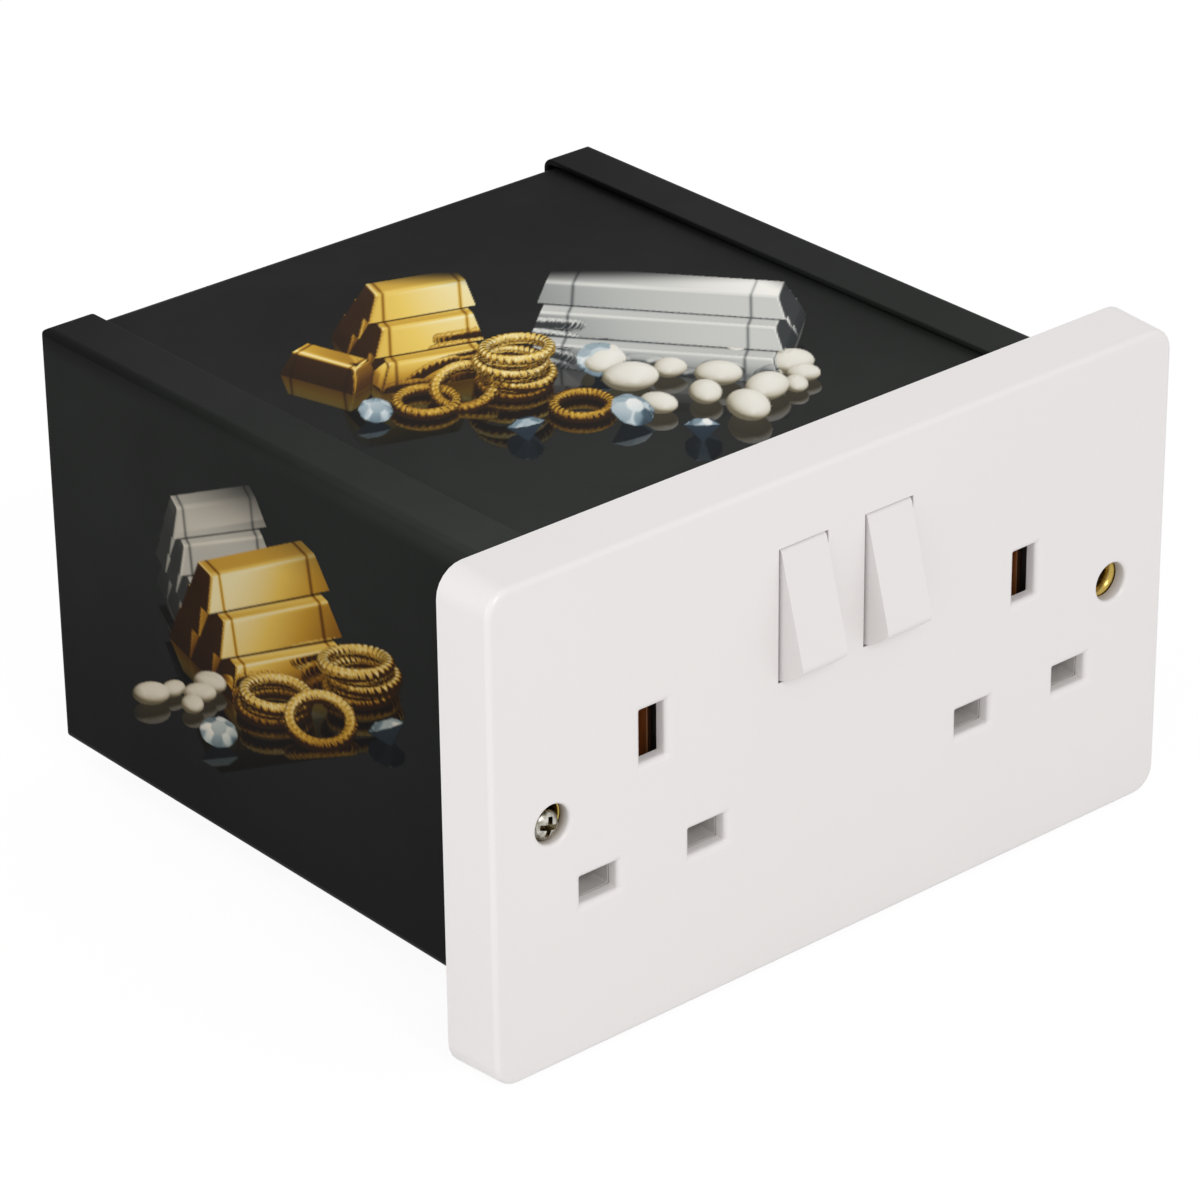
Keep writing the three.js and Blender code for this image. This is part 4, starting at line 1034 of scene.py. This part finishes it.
# %% The picture on the left side
def side_life():
    bodies = pile(SILVER, (-9, 36, 0), (17, 8, 4.6), 12, (3, 3, 2, 1))
    bodies += pile(GOLD, (-2, 14, 0), (23, 9.5, 5.8), 22, (3, 2, 1))
    bodies += stack((15, 0, 0), 5.4, 1.15, 3) + stack((0, -8, 0), 5.6, 1.15, 2)
    bodies += [ring((8, -16, 2.6), 5.3, 1.15, 12, 24)]
    bodies += scatter((-15, -3, 0), 2.8, 5, 3.0)
    bodies += [gem((-10, -21), 3.4, 15, 26), gem((19, -17), 3.2, 40, -24)]
    return bodies


print("side picture:", len(side_life()), "bodies")

# %% [markdown]
# Each print is a sheet a few hundredths of a millimetre thick, as a transfer is. It starts as a fine grid
# of faces on the steel, is cut to the panel, and gets feet round its border and an underside. Its upper
# side then rises a little from the border inwards, so that no edge shows. The picture is drawn for
# someone who stands where the camera is, so a point's place in it is its place across the camera's view.

# %% Sheet making
PRINT_LIFT = 0.02 * MM
BORDER_LIFT = 0.004 * MM
FEATHER = 6 * MM
PICTURE_RIGHT = CAMERA_AHEAD.cross(Vector((0, 0, 1))).normalized()
PICTURE_UP = PICTURE_RIGHT.cross(CAMERA_AHEAD)
SMALLEST_GAP = 1e-7


def grid_sheet(size, cell, placed):
    """A grid that is made at the origin and then put in place, and the planes of its four sides."""
    made = bmesh.new()
    counts = [round(length / step) for length, step in zip(size, cell)]
    bmesh.ops.create_grid(made, x_segments=counts[0], y_segments=counts[1], size=0.5)
    bmesh.ops.scale(made, vec=(*size, 1), verts=made.verts)
    bmesh.ops.transform(made, matrix=placed, verts=made.verts)
    ways = [way * Vector(axis) for axis in ((1, 0, 0), (0, 1, 0)) for way in (-1, 1)]
    sides = [(placed @ (way * (size[k // 2] / 2)), placed.to_3x3() @ way) for k, way in enumerate(ways)]
    return made, sides


def trim(sheet, place, outward):
    everything = [*sheet.verts, *sheet.edges, *sheet.faces]
    bmesh.ops.bisect_plane(sheet, geom=everything, dist=SMALLEST_GAP, plane_co=place, plane_no=outward,
                           clear_outer=True)


def close_below(sheet, outward):
    """Gives the sheet feet and an underside, and returns the numbers of its feet."""
    border = [edge for edge in sheet.edges if edge.is_boundary]
    folded = bmesh.ops.extrude_edge_only(sheet, edges=border)["geom"]
    feet = [item for item in folded if isinstance(item, bmesh.types.BMVert)]
    rim = [item for item in folded if isinstance(item, bmesh.types.BMEdge) and item.is_boundary]
    underside = bmesh.ops.contextual_create(sheet, geom=rim)["faces"][0]
    bmesh.ops.recalc_face_normals(sheet, faces=sheet.faces)
    underside.normal_update()
    if underside.normal.dot(outward) > 0:
        bmesh.ops.reverse_faces(sheet, faces=sheet.faces)
    sheet.verts.index_update()
    return [foot.index for foot in feet]


print("right", [round(value, 3) for value in PICTURE_RIGHT], "up", [round(value, 3) for value in PICTURE_UP])

# %% Printing
FADE = 7 * MM
SUB_SAMPLES = [(-0.25, -0.25), (0.25, -0.25), (-0.25, 0.25), (0.25, 0.25)]
SAMPLE_CELL = 0.2


def print_sheet(name, sheet, bodies, middle, elevation, borders, fades, outward, tone_and_painted_shade):
    """Makes the sheet a piece of the casing and draws the picture on it, fading towards the borders."""
    feet = close_below(sheet, outward)
    mesh = to_mesh(sheet, name)
    spots = np.zeros(len(mesh.vertices) * 3)
    mesh.vertices.foreach_get("co", spots)
    spots = spots.reshape(-1, 3)
    off = (spots - middle) / MM
    across, up = off @ PICTURE_RIGHT, off @ PICTURE_UP
    colours, strength = np.zeros((len(spots), 3)), np.zeros(len(spots))
    for shift_across, shift_up in SUB_SAMPLES:
        back = (up + shift_up * SAMPLE_CELL) / math.sin(math.radians(elevation))
        points = np.column_stack([across + shift_across * SAMPLE_CELL, back, np.zeros(len(spots))])
        drawn, inked_there = picture(bodies, points, elevation)
        colours += drawn * inked_there[:, None] / len(SUB_SAMPLES)
        strength += inked_there / len(SUB_SAMPLES)
    colours /= np.maximum(strength, 1e-6)[:, None]
    rooms = [(np.array(place) - spots) @ np.array(way) for place, way in borders]
    for room, fade in zip(rooms, fades):
        strength *= eased(0, fade, room)
    room = np.min(rooms, axis=0)
    lift = BORDER_LIFT + (PRINT_LIFT - BORDER_LIFT) * eased(0, FEATHER, room)
    lift[feet] = 0
    raised = spots + lift[:, None] * np.array(outward)
    mesh.vertices.foreach_set("co", raised.ravel())
    ink = mesh.attributes.new(INK, "FLOAT_COLOR", "POINT")
    # on the left side the ink is scaled darker, as painted shade
    ink.data.foreach_set("color", np.column_stack([colours * tone_and_painted_shade, np.ones(len(spots))]).ravel())
    share = mesh.attributes.new(INK_STRENGTH, "FLOAT", "POINT")
    share.data.foreach_set("value", strength)
    new_piece(name, mesh, "casing", BLACK_COAT)
    print(name, len(mesh.polygons), "faces")


print(len(SUB_SAMPLES), "rays for each point of a sheet")

# %% The print on top
UP, AXIS_X = Vector((0, 0, 1)), Vector((1, 0, 0))
TOP_MIDDLE = (-10.6 * MM, -3.2 * MM)
TOP_SIZE = (106 * MM, 84 * MM)
TOP_CELL = (0.22 * MM, 0.4 * MM)
TOP_BACK = 4 * MM
TOP_ELEVATION = 27
TOP_TONE = (0.92, 0.90, 0.86)
EDGE_SPACE = 0.6 * MM
FOLD_SPACE = 3.5 * MM

panel_low, panel_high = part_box("wrap_panel")
flange_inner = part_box("side_plate_left")[1][0] + EDGE_SPACE
top_middle = Vector((*TOP_MIDDLE, panel_high[2]))
top_deep = UP.cross(PICTURE_RIGHT)
turn = Matrix((PICTURE_RIGHT, top_deep, UP)).transposed().to_4x4()
placed = Matrix.Translation(top_middle + TOP_BACK * top_deep) @ turn
top_sheet, top_borders = grid_sheet(TOP_SIZE, TOP_CELL, placed)
ahead = Vector((0, 1, 0))
cuts = [(Vector((way * -flange_inner, 0, 0)), Vector((way, 0, 0))) for way in (-1, 1)]
cuts += [((panel_low[1] + EDGE_SPACE) * ahead, -ahead), ((panel_high[1] - FOLD_SPACE) * ahead, ahead)]
for place, outward in cuts:
    trim(top_sheet, place, outward)
print_sheet("print_top", top_sheet, top_life(), np.array(top_middle), TOP_ELEVATION, top_borders + cuts,
            [FADE] * 8, UP, TOP_TONE)

# %% The print on the left side
SIDE_MIDDLE = (7.2 * MM, 37.7 * MM)
SIDE_SIZE = (66 * MM, 88 * MM)
SIDE_CELL = (0.2 * MM, 0.3 * MM)
SIDE_CENTRE = (6 * MM, 43 * MM)
SIDE_ELEVATION = 24
SIDE_FADES = [FADE, 16 * MM, 12 * MM, FADE]
# the side's ink is painted darker and browner, as painted shade, because that side gets less light
SIDE_TONE_AND_PAINTED_SHADE = (0.56, 0.50, 0.42)

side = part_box("side_plate_left")[0][0]
stood = Matrix(((0, 0, -1), (0, 1, 0), (1, 0, 0))).to_4x4()
placed = Matrix.Translation((side, *SIDE_CENTRE)) @ stood
side_sheet, side_borders = grid_sheet(SIDE_SIZE, SIDE_CELL, placed)
side_middle = np.array((side, *SIDE_MIDDLE))
print_sheet("print_left", side_sheet, side_life(), side_middle, SIDE_ELEVATION, side_borders, SIDE_FADES,
            -AXIS_X, SIDE_TONE_AND_PAINTED_SHADE)

# %% [markdown]
# The object stands on a white table in soft light. One way to a white background is to light the table
# until it burns out, but that burns the white front as well. Here the table adds its own white for the
# camera and for reflections only, and keeps a faint shadow of the object. The light on the object stays
# at a plain level.

# %% Rays that show a surface
def shown(tree):
    """1 where a surface is seen, mirrored or seen through, and 0 where it only lights another one."""
    path = add_node(tree, "ShaderNodeLightPath")
    seen = add_node(tree, "ShaderNodeMath", {"operation": "MAXIMUM"})
    link(tree, path, "Is Camera Ray", seen, 0)
    link(tree, path, "Is Glossy Ray", seen, 1)
    seen_through = add_node(tree, "ShaderNodeMath", {"operation": "MAXIMUM"})
    link(tree, seen, 0, seen_through, 0)
    link(tree, path, "Is Transmission Ray", seen_through, 1)
    return seen_through


print("ready for the table and the sky")

# %% Floor
FLOOR_HALF = 4.0
FLOOR_SHADOW = 0.09

sheet = bmesh.new()
bmesh.ops.create_grid(sheet, x_segments=1, y_segments=1, size=FLOOR_HALF)
floor = bpy.data.objects.new("table", to_mesh(sheet, "table"))
bpy.context.scene.collection.objects.link(floor)

FLOOR_WHITE, floor_tree, floor_shader, _ = new_material("white_table")
floor_shader.inputs["Base Color"].default_value = (0.84, 0.84, 0.84, 1)
floor_shader.inputs["Roughness"].default_value = 0.8
floor_shader.inputs["Specular IOR Level"].default_value = 0.1
own_white = add_node(floor_tree, "ShaderNodeEmission", Color=(1, 1, 1, 1), Strength=1.03)
share = add_node(floor_tree, "ShaderNodeMath", {"operation": "MULTIPLY"})
share.inputs[1].default_value = 1 - FLOOR_SHADOW
link(floor_tree, shown(floor_tree), 0, share, 0)
mixed = add_node(floor_tree, "ShaderNodeMixShader")
link(floor_tree, share, 0, mixed, "Fac")
link(floor_tree, floor_shader, 0, mixed, 1)
link(floor_tree, own_white, 0, mixed, 2)
floor_out = next(node for node in floor_tree.nodes if node.type == "OUTPUT_MATERIAL")
link(floor_tree, mixed, 0, floor_out, "Surface")
floor.data.materials.append(FLOOR_WHITE)
print("table", 2 * FLOOR_HALF, "m wide")

# %% [markdown]
# Most of the light is even and comes from the world. One lamp in front and above adds to the socket
# front, and a weaker, slightly blue one on the left lights the side of the box. One big lamp would be
# simpler, but that side would get too little of it.

# %% World and lamps
SKY_LEVEL = 0.76
LAMPS = {
    # name: (place, size, power, colour)
    "key": ((-0.45, -1.25, 0.95), 0.45, 6.7, (1, 1, 1)),
    "left": ((-1.5, 0.1, 0.55), 1.2, 4.6, (0.96, 0.98, 1)),
}
LIT_POINT = Vector((0, 0, 0.04))

world = bpy.data.worlds.new("studio")
world.use_nodes = True
bpy.context.scene.world = world
sky = world.node_tree
sky.nodes.clear()
sky_level = add_node(sky, "ShaderNodeMapRange", To_Min=SKY_LEVEL, To_Max=1.0)
link(sky, shown(sky), 0, sky_level, "Value")
background = add_node(sky, "ShaderNodeBackground", Color=(1, 1, 1, 1))
link(sky, sky_level, "Result", background, "Strength")
sky_out = add_node(sky, "ShaderNodeOutputWorld")
link(sky, background, 0, sky_out, "Surface")

for name, (place, size, power, colour) in LAMPS.items():
    lamp = bpy.data.lights.new(name, "AREA")
    lamp.size = size
    lamp.energy = power
    lamp.color = colour
    stand = bpy.data.objects.new(name, lamp)
    stand.location = place
    stand.rotation_mode = "QUATERNION"
    stand.rotation_quaternion = (LIT_POINT - Vector(place)).to_track_quat("-Z", "Y")
    bpy.context.scene.collection.objects.link(stand)
bpy.context.scene.view_settings.view_transform = "Standard"
print("lamps", ", ".join(LAMPS))
